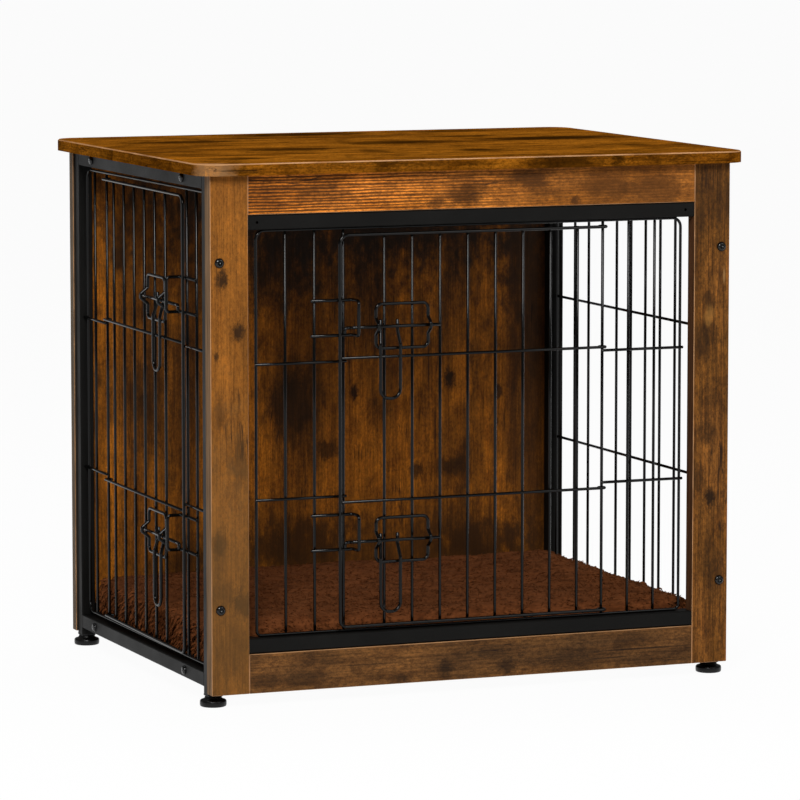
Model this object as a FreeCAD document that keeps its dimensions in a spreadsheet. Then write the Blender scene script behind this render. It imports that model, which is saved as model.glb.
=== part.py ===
import FreeCAD, Part

import math
import os

import Sketcher

# Dog crate end table: a wooden table built over a steel crate. The front face is a frame of two
# stiles and two rails, the back is one board, and the sides are welded square tubes. Wire grilles
# fill the front and both sides. The front and the left side each have a wire door whose wires
# curl round a fixed hinge wire, held shut by two sliding wire bolts.
#
# Millimetres, +Z up, +X to the right along the front, +Y towards the back. The origin is on the
# floor, under the middle of the table top. Most pieces are drawn in the cabinet's own frame, whose
# zero is the middle of the front face at the bottom of the wood, and are then placed in the part.
# A wire wall is drawn in a frame of its own: along the wall from its hinge wire, out of the
# cabinet, and up.

Vector = FreeCAD.Vector
Rotation = FreeCAD.Rotation

SIZES = [
    # alias, value, what it is
    ("top_thick", 12, "table top board"),
    ("top_corner", 25, "table top corner radius"),
    ("top_edge", 1.2, "broken upper edge of the table top"),
    ("top_front_overhang", 14, "table top in front of the front face"),
    ("top_back_overhang", 14, "table top behind the back board"),
    ("top_side_overhang", 15, "table top past the outside of the stiles"),
    ("cabinet_width", 570, "outside of the stiles"),
    ("cabinet_depth", 452, "front face to the back of the back board"),
    ("wood_height", 522, "length of the stiles and of the back board"),
    ("stile_width", 40, "stile, seen from the front"),
    ("rail_width", 40, "top and bottom rail, seen from the front"),
    ("front_thick", 16, "stiles and rails"),
    ("back_thick", 12, "back board"),
    ("board_chamfer", 0.6, "broken edge of every board"),
    ("tube_side", 15, "square tube, outside"),
    ("tube_wall", 1.2, "square tube, wall"),
    ("tube_chamfer", 1, "square tube, broken corners"),
    ("side_inset", 2, "side tubes inside the edge of the stiles"),
    ("post_drop", 2, "posts below the bottom of the wood"),
    ("bottom_tube_rise", 5, "bottom side tubes above the bottom of the wood"),
    ("cross_bar_front", 90, "middle of the front cross bars behind the front face"),
    ("cross_bar_inset", 70, "middle of the back cross bars in front of the cabinet's back"),
    ("plug_side", 12.4, "square plug in the end of a tube"),
    ("bar_recess", 1, "front bars behind the front face"),
    ("bar_gap", 0.4, "gap round the front bars"),
    ("tab_reach", 17, "tab of a front bar behind the stile"),
    ("tab_lap", 10, "tab of a front bar along the bar"),
    ("tab_screw", 9, "tab screw from the inside edge of the stile"),
    ("vent_radius", 1.5, "small hole near each end of the top front bar"),
    ("vent_inset", 10, "small hole from the end of the bar"),
    ("tab_thick", 2, "tab of a front bar"),
    ("floor_thick", 12, "floor board"),
    ("floor_gap", 2, "floor board to the side tubes and posts"),
    ("mat_thick", 33, "fleece mat"),
    ("mat_side", 23, "side edge of the mat inside the outside of the stiles"),
    ("mat_front", 36, "front edge of the mat behind the front face"),
    ("mat_back", 20, "back edge of the mat in front of the back board"),
    ("mat_corner", 14, "bevel of the mat's upright corners"),
    ("mat_edge", 12, "bevel of the mat's upper edge"),
    ("mat_lift", 0.2, "mat above the floor board"),
    ("foot_height", 14, "bottom of the wood above the floor"),
    ("foot_radius", 13.5, "foot disc"),
    ("foot_disc", 6, "thickness of the foot disc"),
    ("foot_hub_radius", 8.5, "hub above the foot disc"),
    ("foot_hub", 10, "top of the hub above the floor"),
    ("stem_radius", 3, "threaded stem of a foot"),
    ("stem_length", 22, "stem above the hub"),
    ("flange_thick", 1.5, "flange of the plug under a post"),
    ("fit_gap", 0.08, "running clearance on radius"),
    ("bolt_radius", 3, "shank of a bolt through a board into a post"),
    ("bolt_length", 24, "shank of a bolt"),
    ("bolt_clearance", 0.2, "hole round a bolt or screw, on radius"),
    ("nut_radius", 5.6, "nut inside a post, across corners, half"),
    ("nut_thick", 4, "nut inside a post"),
    ("dowel_radius", 4, "dowel between a rail and a stile"),
    ("dowel_length", 30, "dowel between a rail and a stile"),
    ("dowel_spread", 20, "two dowels of one joint, middle to middle"),
    ("bolt_head_radius", 5, "head of a bolt"),
    ("bolt_head", 3, "head of a bolt, height"),
    ("bolt_socket", 4, "hexagon socket across flats"),
    ("bolt_low", 86.5, "lower bolts above the bottom of the wood"),
    ("bolt_high", 435, "upper bolts above the bottom of the wood"),
    ("screw_radius", 2, "shank of a screw"),
    ("screw_head_radius", 4.5, "pan head of a screw"),
    ("screw_head", 2.4, "pan head, height"),
    ("screw_bite", 9, "screw in a board or a plug"),
    ("plug_length", 16, "plug in the end of a cross bar or a post"),
    ("top_screw_x", 150, "screws up into the table top, from the middle"),
    ("frame_wire", 3.4, "wire round a grille or a door, and of the latches"),
    ("grille_wire", 3, "other wires"),
    ("frame_bend", 12, "bend radius at the corners of a grille or a door"),
    ("weld_sink", 0.1, "how far a butt-welded wire end sinks in"),
    ("wire_end", 2.5, "wire end past the middle of the wire it is welded to"),
    ("hinge_clearance", 0.3, "curl to hinge wire, on radius"),
    ("door_tilt", 0.7, "a shut door's free edge rests this many degrees out"),
    ("door_bottom_gap", 4.5, "door wire above the grille's bottom wire"),
    ("door_top_gap", 6.5, "door wire below the grille's top wire"),
    ("door_lap", 6.2, "door past the edge wire of its opening"),
    ("front_wire_plane", 10, "middle of the front upright wires behind the front face"),
    ("front_panel_gap", 11.5, "front grille's edge wire from the stile"),
    ("front_hinge_x", 145.5, "front hinge wire from the middle"),
    ("front_opening", 285.5, "front hinge wire to the opening's edge wire"),
    ("front_wire_upper", 331.2, "upper cross wire of the front grille"),
    ("front_wire_lower", 194.4, "lower cross wire of the front grille"),
    ("front_door_upper", 334.6, "upper cross wire of the front door"),
    ("front_door_lower", 188.5, "lower cross wire of the front door"),
    ("front_door_first", 28.3, "front hinge wire to the first door upright"),
    ("front_door_pitch", 30.6, "spacing of the front door's uprights"),
    ("front_latch_upper", 365.6, "front upper bolt"),
    ("front_latch_lower", 148.2, "front lower bolt"),
    ("front_guide_inset", 32.8, "front opening's edge wire to the guides"),
    ("side_wire_inset", 10, "middle of the side upright wires inside the outside of the stiles"),
    ("side_wire_gap", 3, "side grille wire to the tubes round it"),
    ("left_hinge_back", 85.3, "left hinge wire in front of the back board"),
    ("left_opening_front", 98, "left opening's edge wire behind the front face"),
    ("left_upright_back", 39.9, "fixed upright behind the left hinge wire"),
    ("left_upright_front", 29, "fixed upright in front of the left opening's edge wire"),
    ("left_wire_upper", 343.3, "upper cross wire of the left grille"),
    ("left_wire_lower", 181.5, "lower cross wire of the left grille"),
    ("left_door_upper", 346.9, "upper cross wire of the left door"),
    ("left_door_lower", 175.5, "lower cross wire of the left door"),
    ("left_door_first", 25.4, "left hinge wire to the first door upright"),
    ("left_door_pitch", 34.4, "spacing of the left door's uprights"),
    ("left_latch_upper", 385.4, "left upper bolt"),
    ("left_latch_lower", 142, "left lower bolt"),
    ("left_guide_inset", 50.9, "left opening's edge wire to the guides"),
    ("right_wire_upper", 347, "upper cross wire of the right grille"),
    ("right_wire_lower", 189, "lower cross wire of the right grille"),
    ("right_first", 12.2, "right grille's back wire to its first upright"),
    ("right_last", 38, "right grille's last upright to its front wire"),
    ("rod_out", 7.6, "bolt rod in front of the door's hinge line"),
    ("keeper_reach", 36, "keeper along the grille from the opening's edge wire"),
    ("keeper_inset", 9.5, "keeper's front past the opening's edge wire"),
    ("keeper_stand", 16.2, "how far a keeper stands out"),
    ("keeper_above", 27.5, "keeper's upper arm above the rod"),
    ("keeper_below", 8, "keeper's lower arm below the rod"),
    ("hook_past", 2.6, "hook behind the opening's edge wire"),
    ("hook_length", 8, "hook along the rod's line"),
    ("hook_drop", 5.9, "hook below the rod"),
    ("hook_bend", 4, "bend radius of the hook"),
    ("guide_length", 57, "guide loop along the rod"),
    ("guide_height", 45, "guide loop, upright"),
    ("guide_corner", 6, "corner of the guide loop"),
    ("kink_height", 17, "kink of the guide that holds the rod, at its foot"),
    ("kink_flat", 4.4, "flat of the kink in front of the rod"),
    ("kink_clearance", 0.2, "kink to rod"),
    ("rod_tail", 12, "rod past the guide"),
    ("handle_inset", 4.7, "guide to the handle's first leg"),
    ("handle_width", 18.4, "handle at the rod, leg to leg"),
    ("handle_spread", 21.5, "handle below the guide, leg to leg"),
    ("handle_above", 7, "handle's stubs above the rod"),
    ("handle_below", 73, "handle below the rod"),
    ("handle_slope_top", 3.5, "legs start to lean out this far below the rod"),
    ("handle_slope_end", 18, "legs hang straight from here"),
    ("handle_out", 8.5, "hanging legs in front of the door's hinge line"),
    ("handle_corner", 7, "bend at the bottom of the handle"),
    ("handle_clearance", 0.05, "handle legs to rod"),
]

FRONT_DOOR_UPRIGHTS = 8
LEFT_DOOR_UPRIGHTS = 6
RIGHT_UPRIGHTS = 10
BEND_MITRES = 3  # facets round a bend of a wire
STRAIGHT_SIDES = 12  # of a straight wire
ROUND_SIDES = 24  # of a foot, and of the heads of bolts and screws
FIXED_UPRIGHTS = 2  # between the front grille's edge and the door opening, on each side

doc = FreeCAD.newDocument("crate_end_table")
sheet = doc.addObject("Spreadsheet::Sheet", "Sizes")
for row, (alias, value, note) in enumerate(SIZES, start=1):
    sheet.set(f"A{row}", note)
    sheet.set(f"B{row}", str(value))
    sheet.setAlias(f"B{row}", alias)
doc.recompute()

ALIASES = sorted((alias for alias, _, _ in SIZES), key=len, reverse=True)
SUB_PARTS = []


def bound(formula):
    """A formula over the sheet's names, as an expression that any object can use."""
    words = formula.replace("(", " ( ").replace(")", " ) ").split()
    return " ".join(f"Sizes.{word}" if word in ALIASES else word for word in words)


def mm(formula):
    """What a formula over the sheet's names comes to, in millimetres."""
    return float(sheet.evalExpression(bound(formula)))


def bind(item, formulas):
    for name, formula in formulas.items():
        item.setExpression(name, bound(formula))


# ---------------------------------------------------------------- places in the cabinet
POST_X = "cabinet_width / 2 - side_inset - tube_side / 2"
FRONT_POST_Y = "front_thick + tube_side / 2"
BACK_POST_Y = "cabinet_depth - back_thick - tube_side / 2"
POST_BOTTOM = "0 - post_drop"
SIDE_TUBE_LENGTH = "( cabinet_depth - back_thick - front_thick - 2 * tube_side )"
TOP_TUBE_Z = "wood_height - tube_side / 2"
BOTTOM_TUBE_Z = "bottom_tube_rise + tube_side / 2"
TOP_WIDTH = "( cabinet_width + 2 * top_side_overhang )"
TOP_DEPTH = "( top_front_overhang + cabinet_depth + top_back_overhang )"
CROSS_BAR_BACK = "( cabinet_depth - cross_bar_inset )"
OPENING_WIDTH = "( cabinet_width - 2 * stile_width )"
BAR_LENGTH = "cabinet_width - 2 * stile_width - 2 * bar_gap"
BAR_Y = "bar_recess + tube_side / 2"
TOP_BAR_Z = "wood_height - rail_width - bar_gap - tube_side / 2"
BOTTOM_BAR_Z = "rail_width + bar_gap + tube_side / 2"
CROSS_BAR_LENGTH = "( cabinet_width - 2 * side_inset - 2 * tube_side )"
FLOOR_BOTTOM = "bottom_tube_rise + tube_side"
CABINET_Y = f"top_front_overhang - {TOP_DEPTH} / 2"
CABINET_Z = "foot_height"


def sub_part(item, label, x="0", y=None, z=None, cabinet=True):
    """Names a finished piece and places it. Places are in the cabinet's frame unless told otherwise."""
    item.Label = label
    y = "0" if y is None else y
    z = "0" if z is None else z
    if cabinet:
        y = f"{y} + {CABINET_Y}"
        z = f"{z} + {CABINET_Z}"
    bind(item, {"Placement.Base.x": x, "Placement.Base.y": y, "Placement.Base.z": z})
    SUB_PARTS.append(item)
    return item


# ---------------------------------------------------------------- sketched bodies
def new_body(name):
    return doc.addObject("PartDesign::Body", name + "_body")


def sketch_on(body, role, offset="0"):
    """An empty sketch on one of the body's own origin planes, moved along the plane's normal."""
    sketch = body.newObject("Sketcher::SketchObject", body.Name + "_sketch")
    plane = next(f for f in body.Origin.OriginFeatures if f.Role == role)
    sketch.AttachmentSupport = [(plane, "")]
    sketch.MapMode = "FlatFace"
    bind(sketch, {"AttachmentOffset.Base.z": offset})
    return sketch


def constrain(sketch, kind, *where, size=None):
    """Adds a constraint and ties its value to the sheet."""
    if size is None:
        sketch.addConstraint(Sketcher.Constraint(kind, *where))
        return
    index = sketch.addConstraint(Sketcher.Constraint(kind, *where, mm(size)))
    bind(sketch, {f"Constraints[{index}]": size})


def rectangle(sketch, width, height):
    """A rectangle centred on the sketch's origin."""
    a = mm(width) / 2
    b = mm(height) / 2
    corners = [Vector(-a, -b), Vector(a, -b), Vector(a, b), Vector(-a, b)]
    first = sketch.GeometryCount
    for start, end in zip(corners, corners[1:] + corners[:1]):
        sketch.addGeometry(Part.LineSegment(start, end), False)
    bottom, right, top, left = range(first, first + 4)
    for one, other in ((bottom, right), (right, top), (top, left), (left, bottom)):
        constrain(sketch, "Coincident", one, 2, other, 1)
    for line in (bottom, top):
        constrain(sketch, "Horizontal", line)
    for line in (right, left):
        constrain(sketch, "Vertical", line)
    constrain(sketch, "Symmetric", bottom, 1, top, 1, -1, 1)
    constrain(sketch, "DistanceX", bottom, 1, bottom, 2, size=width)
    constrain(sketch, "DistanceY", right, 1, right, 2, size=height)


def pad_both_ways(body, sketch, length):
    pad = body.newObject("PartDesign::Pad", body.Name + "_pad")
    pad.Profile = sketch
    pad.Midplane = True
    bind(pad, {"Length": length})
    doc.recompute()
    return pad


def dress(body, kind, edges, size_name, size):
    """A chamfer or fillet on chosen edges of the body's last feature."""
    last = body.Tip
    names = [f"Edge{i}" for i, edge in enumerate(last.Shape.Edges, start=1) if edges(edge)]
    feature = body.newObject("PartDesign::" + kind, body.Name + "_" + kind.lower())
    feature.Base = (last, names)
    bind(feature, {size_name: size})
    doc.recompute()


def along(edge, axis):
    """Whether a straight edge runs along an axis."""
    if edge.Curve.TypeId != "Part::GeomLine":
        return False
    return abs(abs(edge.Curve.Direction.dot(axis)) - 1) < 1e-6


def board(name, width, depth, height):
    """A board centred on its own origin, its edges broken."""
    body = new_body(name)
    sketch = sketch_on(body, "XY_Plane")
    rectangle(sketch, width, depth)
    pad_both_ways(body, sketch, height)
    dress(body, "Chamfer", lambda edge: True, "Size", "board_chamfer")
    return body


AIMED = {
    "x": Rotation(Vector(0, 1, 0), 90),
    "y": Rotation(Vector(1, 0, 0), -90),
    "z": Rotation(),
}


def pin(name, axis, start, radius, length, sides=8):
    """A straight pin from its start along an axis. Hidden shanks and their holes have eight sides."""
    item = doc.addObject("Part::Prism", name)
    item.Polygon = sides
    item.Placement = FreeCAD.Placement(Vector(), AIMED[axis])
    bind(item, {"Circumradius": radius, "Height": length})
    bind(item, {f"Placement.Base.{letter}": formula for letter, formula in zip("xyz", start)})
    return item


def bored(item, place, holes):
    """Cuts holes into a piece that sits at a place. A hole is (axis, start, radius, length) in the
    cabinet's frame."""
    tools = []
    for i, (axis, start, radius, length) in enumerate(holes):
        here = [f"{formula} - ( {origin} )" for formula, origin in zip(start, place)]
        tools.append(pin(f"{item.Name}_hole_{i}", axis, here, radius, length))
    group = doc.addObject("Part::Compound", item.Name + "_holes")
    group.Links = tools
    cut = doc.addObject("Part::Cut", item.Name + "_bored")
    cut.Base = item
    cut.Tool = group
    return cut


TUBE_PLANE = {"x": "YZ_Plane", "y": "XZ_Plane", "z": "XY_Plane"}
TUBE_AXIS = {"x": Vector(1, 0, 0), "y": Vector(0, 1, 0), "z": Vector(0, 0, 1)}


def tube(name, axis, length):
    """A square tube centred on its own origin."""
    body = new_body(name)
    sketch = sketch_on(body, TUBE_PLANE[axis])
    rectangle(sketch, "tube_side", "tube_side")
    rectangle(sketch, "tube_side - 2 * tube_wall", "tube_side - 2 * tube_wall")
    pad_both_ways(body, sketch, length)
    reach = mm("tube_side") / 2 - 1e-3

    def outer(edge):
        middle = edge.CenterOfMass
        across = sorted(abs(c) for c in (middle.x, middle.y, middle.z))
        return along(edge, TUBE_AXIS[axis]) and across[-2] > reach and across[-1] > reach

    dress(body, "Chamfer", outer, "Size", "tube_chamfer")
    return body


def copies(name, master, places):
    """The same solid at each place, as one group. A place is (x, y, z, rotation)."""
    solids = []
    for x, y, z, turn in places:
        solid = master.Shape.copy()
        solid.Placement = FreeCAD.Placement(Vector(mm(x), mm(y), mm(z)), turn).multiply(solid.Placement)
        solids.append(solid)
    item = doc.addObject("Part::Feature", name)
    item.Shape = Part.makeCompound(solids)
    return item


# ---------------------------------------------------------------- wires
def straight_wire(name, axis, diameter, start, length):
    """A round wire along one axis from its start, which is given in the frame of its wall."""
    return pin(name, axis, start, f"{diameter} / 2", length, STRAIGHT_SIDES)


def eight_sided(middle, direction, across):
    """The section of a bent wire: eight flats as far apart as the round wire is thick."""
    run = Vector(direction).normalize()
    side = Vector(0, 0, 1) if abs(run.z) < 0.5 else Vector(1, 0, 0)
    other = run.cross(side)
    radius = across / 2 / math.cos(math.pi / 8)
    angles = [math.pi / 8 + i * math.pi / 4 for i in range(9)]
    return Part.makePolygon(
        [middle + side * (radius * math.cos(a)) + other * (radius * math.sin(a)) for a in angles]
    )


def bent_wire(name, diameter, points, bends):
    """A wire through points. A corner with a bend radius of 0 is one mitre, and any other corner is
    a few mitres round its bend."""
    route = [points[0]]
    for before, corner, after, bend in zip(points, points[1:], points[2:], bends):
        if not bend:
            route.append(corner)
            continue
        run_in = (corner - before).normalize()
        run_out = (after - corner).normalize()
        turn = run_in.getAngle(run_out)
        centre = corner + (run_out - run_in).normalize() * (bend / math.cos(turn / 2))
        spoke = corner - run_in * (bend * math.tan(turn / 2)) - centre
        step = turn / BEND_MITRES
        for i in range(BEND_MITRES):
            swing = Rotation(run_in.cross(run_out), math.degrees(step * (i + 0.5)))
            route.append(centre + swing.multVec(spoke) / math.cos(step / 2))
    route.append(points[-1])
    item = doc.addObject("Part::Feature", name)
    section = eight_sided(route[0], route[1] - route[0], diameter)
    item.Shape = Part.makePolygon(route).makePipeShell([section], True, False, 1)
    return item


def welded(name, pieces):
    group = doc.addObject("Part::Compound", name + "_wires")
    group.Links = pieces
    return group


class Wall:
    """A wire wall: where its hinge wire stands in the cabinet, which way it runs, and its inside edges."""

    def __init__(self, name, x, y, turn, facing, back_edge, front_edge, bottom, top):
        self.name = name
        self.x = x
        self.y = y
        self.turn = turn
        self.facing = facing
        self.back_edge = back_edge
        self.front_edge = front_edge
        self.bottom = bottom
        self.top = top

    def out(self, formula):
        """A distance out of the cabinet, in the wall's frame."""
        return formula if self.facing > 0 else f"0 - ( {formula} )"

    def point(self, u, out, z):
        return Vector(mm(u), self.facing * mm(out), mm(z))

    def place(self, item, label, tilted=False):
        angle = self.turn + (self.facing * mm("door_tilt") if tilted else 0)
        item.Placement = FreeCAD.Placement(item.Placement.Base, Rotation(Vector(0, 0, 1), angle))
        return sub_part(item, label, self.x, self.y, "0")

    def border(self, label):
        """The bent wire all round the grille."""
        low, high = self.bottom, self.top
        back = self.back_edge
        front = self.front_edge
        middle = f"( {back} + {front} ) / 2"
        route = [(middle, low), (back, low), (back, high), (front, high), (front, low), (middle, low)]
        points = [self.point(u, "0", z) for u, z in route]
        wire = bent_wire(self.name + "_border", mm("grille_wire"), points, [mm("frame_bend")] * 4)
        self.place(wire, label)

    def upright(self, name, u, out="0", bottom=None, top=None):
        """A wire that stands between the border's bottom and top wires."""
        sink = "grille_wire / 2 - weld_sink"
        low = bottom or f"{self.bottom} + {sink}"
        high = top or f"{self.top} - ( {sink} )"
        return straight_wire(name, "z", "grille_wire", (u, self.out(out), low), f"{high} - ( {low} )")

    def cross_wire(self, name, start, end, z):
        place = (start, self.out("grille_wire - weld_sink"), z)
        return straight_wire(name, "x", "grille_wire", place, f"{end} - ( {start} )")

    def grille(self, label, uprights, spans):
        """Upright wires, with the cross wires welded on their outside."""
        pieces = [self.upright(f"{label}_upright_{i}", u) for i, u in enumerate(uprights)]
        for i, (start, end, z) in enumerate(spans):
            pieces.append(self.cross_wire(f"{label}_cross_{i}", start, end, z))
        self.place(welded(label, pieces), label)


FRONT_PANEL_WIDTH = "( cabinet_width - 2 * stile_width - 2 * front_panel_gap )"
FRONT_WALL = Wall(
    "front", "front_hinge_x", "front_wire_plane", 180, 1,
    back_edge=f"front_hinge_x - {FRONT_PANEL_WIDTH} / 2",
    front_edge=f"front_hinge_x + {FRONT_PANEL_WIDTH} / 2",
    bottom=f"{BOTTOM_BAR_Z} + tube_side / 2 + grille_wire / 2",
    top=f"{TOP_BAR_Z} - tube_side / 2 - grille_wire / 2",
)
SIDE_BACK = "cabinet_depth - back_thick - tube_side"
SIDE_FRONT = "front_thick + tube_side"
SIDE_LOW = "bottom_tube_rise + tube_side + side_wire_gap + grille_wire / 2"
SIDE_HIGH = "wood_height - tube_side - side_wire_gap - grille_wire / 2"
SIDE_WIRE_PLANE = "( cabinet_width / 2 - side_wire_inset )"
LEFT_HINGE_Y = "( cabinet_depth - back_thick - left_hinge_back )"
LEFT_OPENING = "( cabinet_depth - back_thick - left_hinge_back - left_opening_front )"
LEFT_WALL = Wall(
    "left", f"0 - {SIDE_WIRE_PLANE}", LEFT_HINGE_Y, -90, -1,
    back_edge=f"{LEFT_HINGE_Y} - ( {SIDE_BACK} - side_wire_gap - grille_wire / 2 )",
    front_edge=f"{LEFT_HINGE_Y} - ( {SIDE_FRONT} + side_wire_gap + grille_wire / 2 )",
    bottom=SIDE_LOW,
    top=SIDE_HIGH,
)
RIGHT_WALL = Wall(
    "right", SIDE_WIRE_PLANE, SIDE_BACK, -90, 1,
    back_edge="side_wire_gap + grille_wire / 2",
    front_edge=f"{SIDE_BACK} - ( {SIDE_FRONT} + side_wire_gap + grille_wire / 2 )",
    bottom=SIDE_LOW,
    top=SIDE_HIGH,
)


def curl(wall, reach, z):
    """The points of a wire that comes along the door and curls round the hinge wire in six sides."""
    corner = reach / math.cos(math.radians(30))
    around = [(corner, angle) for angle in (120, 180, 240, 300)] + [(reach, 330)]
    return [
        Vector(r * math.cos(math.radians(a)), wall.facing * r * math.sin(math.radians(a)), z)
        for r, a in around
    ]


def door(wall, label, edge, uprights, cross_heights):
    """A wire door: the bent wire round it, and two cross wires with the uprights welded behind them."""
    outer = mm("grille_wire / 2 + hinge_clearance + frame_wire / 2")
    inner = mm("grille_wire + hinge_clearance")
    low = f"{wall.bottom} + door_bottom_gap"
    high = f"{wall.top} - door_top_gap"
    top_curl = curl(wall, outer, mm(high))
    bottom_curl = curl(wall, outer, mm(low))
    corners = [Vector(mm(edge), wall.facing * outer, mm(z)) for z in (high, low)]
    mitres = [0] * (len(top_curl) - 1)
    bends = mitres + [mm("frame_bend")] * 2 + mitres
    border = bent_wire(label + "_border", mm("frame_wire"), top_curl[::-1] + corners + bottom_curl, bends)
    wall.place(border, label + "_frame", tilted=True)
    pieces = []
    for i, height in enumerate(cross_heights):
        start = Vector(mm(f"{edge} - frame_wire / 2 + weld_sink"), wall.facing * inner, mm(height))
        path = [start] + curl(wall, inner, mm(height))
        pieces.append(bent_wire(f"{label}_cross_{i}", mm("grille_wire"), path, [0] * (len(path) - 2)))
    bottom = f"{low} - frame_wire / 2"
    top = f"{high} + frame_wire / 2"
    for i, u in enumerate(uprights):
        pieces.append(wall.upright(f"{label}_upright_{i}", u, "hinge_clearance + weld_sink", bottom, top))
    wall.place(welded(label, pieces), label + "_wires", tilted=True)


def latch(wall, name, opening, guide_inset, height):
    """A keeper on the grille, and on the door a guide loop, a sliding rod, and its handle with the hook."""
    wire = mm("frame_wire")
    keeper_start = f"{opening} + keeper_reach"
    keeper_front = f"{opening} - keeper_inset"
    welded_out = "grille_wire / 2 + frame_wire / 2 - weld_sink"
    stand = f"{welded_out} + keeper_stand"
    upper = f"{height} + keeper_above"
    lower = f"{height} - keeper_below"
    keeper = [
        wall.point(keeper_start, welded_out, upper),
        wall.point(keeper_front, welded_out, upper),
        wall.point(keeper_front, stand, upper),
        wall.point(keeper_front, stand, lower),
        wall.point(keeper_front, welded_out, lower),
        wall.point(keeper_start, welded_out, lower),
    ]
    wall.place(bent_wire(name + "_keeper_wire", wire, keeper, [0] * 4), name + "_keeper")

    near = f"{opening} - {guide_inset}"
    far = f"{near} - guide_length"
    layer = f"hinge_clearance + weld_sink + {welded_out}"
    apex = "rod_out + frame_wire + kink_clearance"
    top = f"{height} + guide_height / 2"
    bottom = f"{height} - guide_height / 2"

    def side(u, signs):
        """One short side of the guide loop, which bulges out round the rod."""
        return [
            wall.point(u, layer if half == "kink_height" else apex, f"{height} + ( {sign} ) * {half} / 2")
            for sign, half in signs
        ]

    down = [("1", "kink_height"), ("1", "kink_flat"), ("0 - 1", "kink_flat"), ("0 - 1", "kink_height")]
    middle = f"( {near} + {far} ) / 2"
    loop = [
        wall.point(middle, layer, top),
        wall.point(near, layer, top),
        *side(near, down),
        wall.point(near, layer, bottom),
        wall.point(far, layer, bottom),
        *side(far, down[::-1]),
        wall.point(far, layer, top),
        wall.point(middle, layer, top),
    ]
    corner = mm("guide_corner")
    bends = [corner, 0, 0, 0, 0, corner, corner, 0, 0, 0, 0, corner]
    wall.place(bent_wire(name + "_guide_wire", wire, loop, bends), name + "_guide", tilted=True)

    rod_end = f"{far} - rod_tail"
    bend_start = f"{opening} + hook_past - hook_length"
    rod_start = (rod_end, wall.out("rod_out"), height)
    rod = straight_wire(name + "_rod", "x", "frame_wire", rod_start, f"{bend_start} - ( {rod_end} )")
    wall.place(welded(name + "_bolt", [rod]), name + "_bolt", tilted=True)

    hook = [
        wall.point(bend_start, "rod_out", height),
        wall.point(f"{opening} + hook_past", "rod_out", height),
        wall.point(f"{opening} + hook_past", "rod_out", f"{height} - hook_drop"),
    ]
    behind = "rod_out - frame_wire - handle_clearance"
    legs = [f"{near} - handle_inset", f"{near} - handle_inset - handle_width"]
    spread = "( handle_spread - handle_width ) / 2"
    hanging = [f"{legs[0]} + {spread}", f"{legs[1]} - ( {spread} )"]

    def leg(u_top, u_low):
        return [
            wall.point(u_top, behind, f"{height} + handle_above"),
            wall.point(u_top, behind, f"{height} - handle_slope_top"),
            wall.point(u_low, "handle_out", f"{height} - handle_slope_end"),
            wall.point(u_low, "handle_out", f"{height} - handle_below"),
        ]

    bail = leg(legs[0], hanging[0]) + leg(legs[1], hanging[1])[::-1]
    bend = mm("handle_corner")
    pieces = [
        bent_wire(name + "_hook", wire, hook, [mm("hook_bend")]),
        bent_wire(name + "_bail", wire, bail, [0, 0, bend, bend, 0, 0]),
    ]
    wall.place(welded(name + "_handle", pieces), name + "_handle", tilted=True)


def group_of(name, pieces):
    group = doc.addObject("Part::Compound", name + "_group")
    group.Links = pieces
    return group


def fused(name, pieces):
    item = doc.addObject("Part::MultiFuse", name)
    item.Shapes = pieces
    return item


def block(name, start, size):
    item = doc.addObject("Part::Box", name)
    bind(item, dict(zip(("Length", "Width", "Height"), size)))
    bind(item, {f"Placement.Base.{letter}": formula for letter, formula in zip("xyz", start)})
    return item


def signed(sign, formula):
    return formula if sign > 0 else f"0 - ( {formula} )"


def centred(sign, middle, length):
    """The low end of a length that is centred on sign times a middle."""
    return f"{signed(sign, middle)} - ( {length} ) / 2"


# ---------------------------------------------------------------- wood
BOLT_HEIGHTS = ("bolt_low", "bolt_high")
SIDES = {"left": -1, "right": 1}
HOLE = "bolt_radius + bolt_clearance"
SCREW_HOLE = "screw_radius + bolt_clearance"
STILE_X = "cabinet_width / 2 - stile_width / 2"
RAIL_HEIGHTS = {"top": "wood_height - rail_width / 2", "bottom": "rail_width / 2"}
DOWEL_HOLE = "dowel_radius + bolt_clearance / 2"
DOWEL_Y = "front_thick / 2"
TAB_SCREW_X = f"{OPENING_WIDTH} / 2 + tab_screw"
BAR_HEIGHTS = {"top": TOP_BAR_Z, "bottom": BOTTOM_BAR_Z}


def dowel_heights():
    return [f"{z} {sign} dowel_spread / 2" for z in RAIL_HEIGHTS.values() for sign in "+-"]


top = new_body("table_top")
top_sketch = sketch_on(top, "XY_Plane")
rectangle(top_sketch, TOP_WIDTH, TOP_DEPTH)
pad_both_ways(top, top_sketch, "top_thick")
dress(top, "Fillet", lambda edge: along(edge, Vector(0, 0, 1)), "Radius", "top_corner")
dress(top, "Chamfer", lambda edge: edge.BoundBox.ZMin > mm("top_thick / 2") - 1e-3, "Size", "top_edge")
top_place = ("0", f"{TOP_DEPTH} / 2 - top_front_overhang", "wood_height + top_thick / 2")
top_holes = [
    ("z", (signed(sign, "top_screw_x"), y, "wood_height - 1"), SCREW_HOLE, "screw_bite + 2")
    for sign in (-1, 1)
    for y in ("cross_bar_front", CROSS_BAR_BACK)
]
sub_part(bored(top, top_place, top_holes), "table_top", *top_place)

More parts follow.
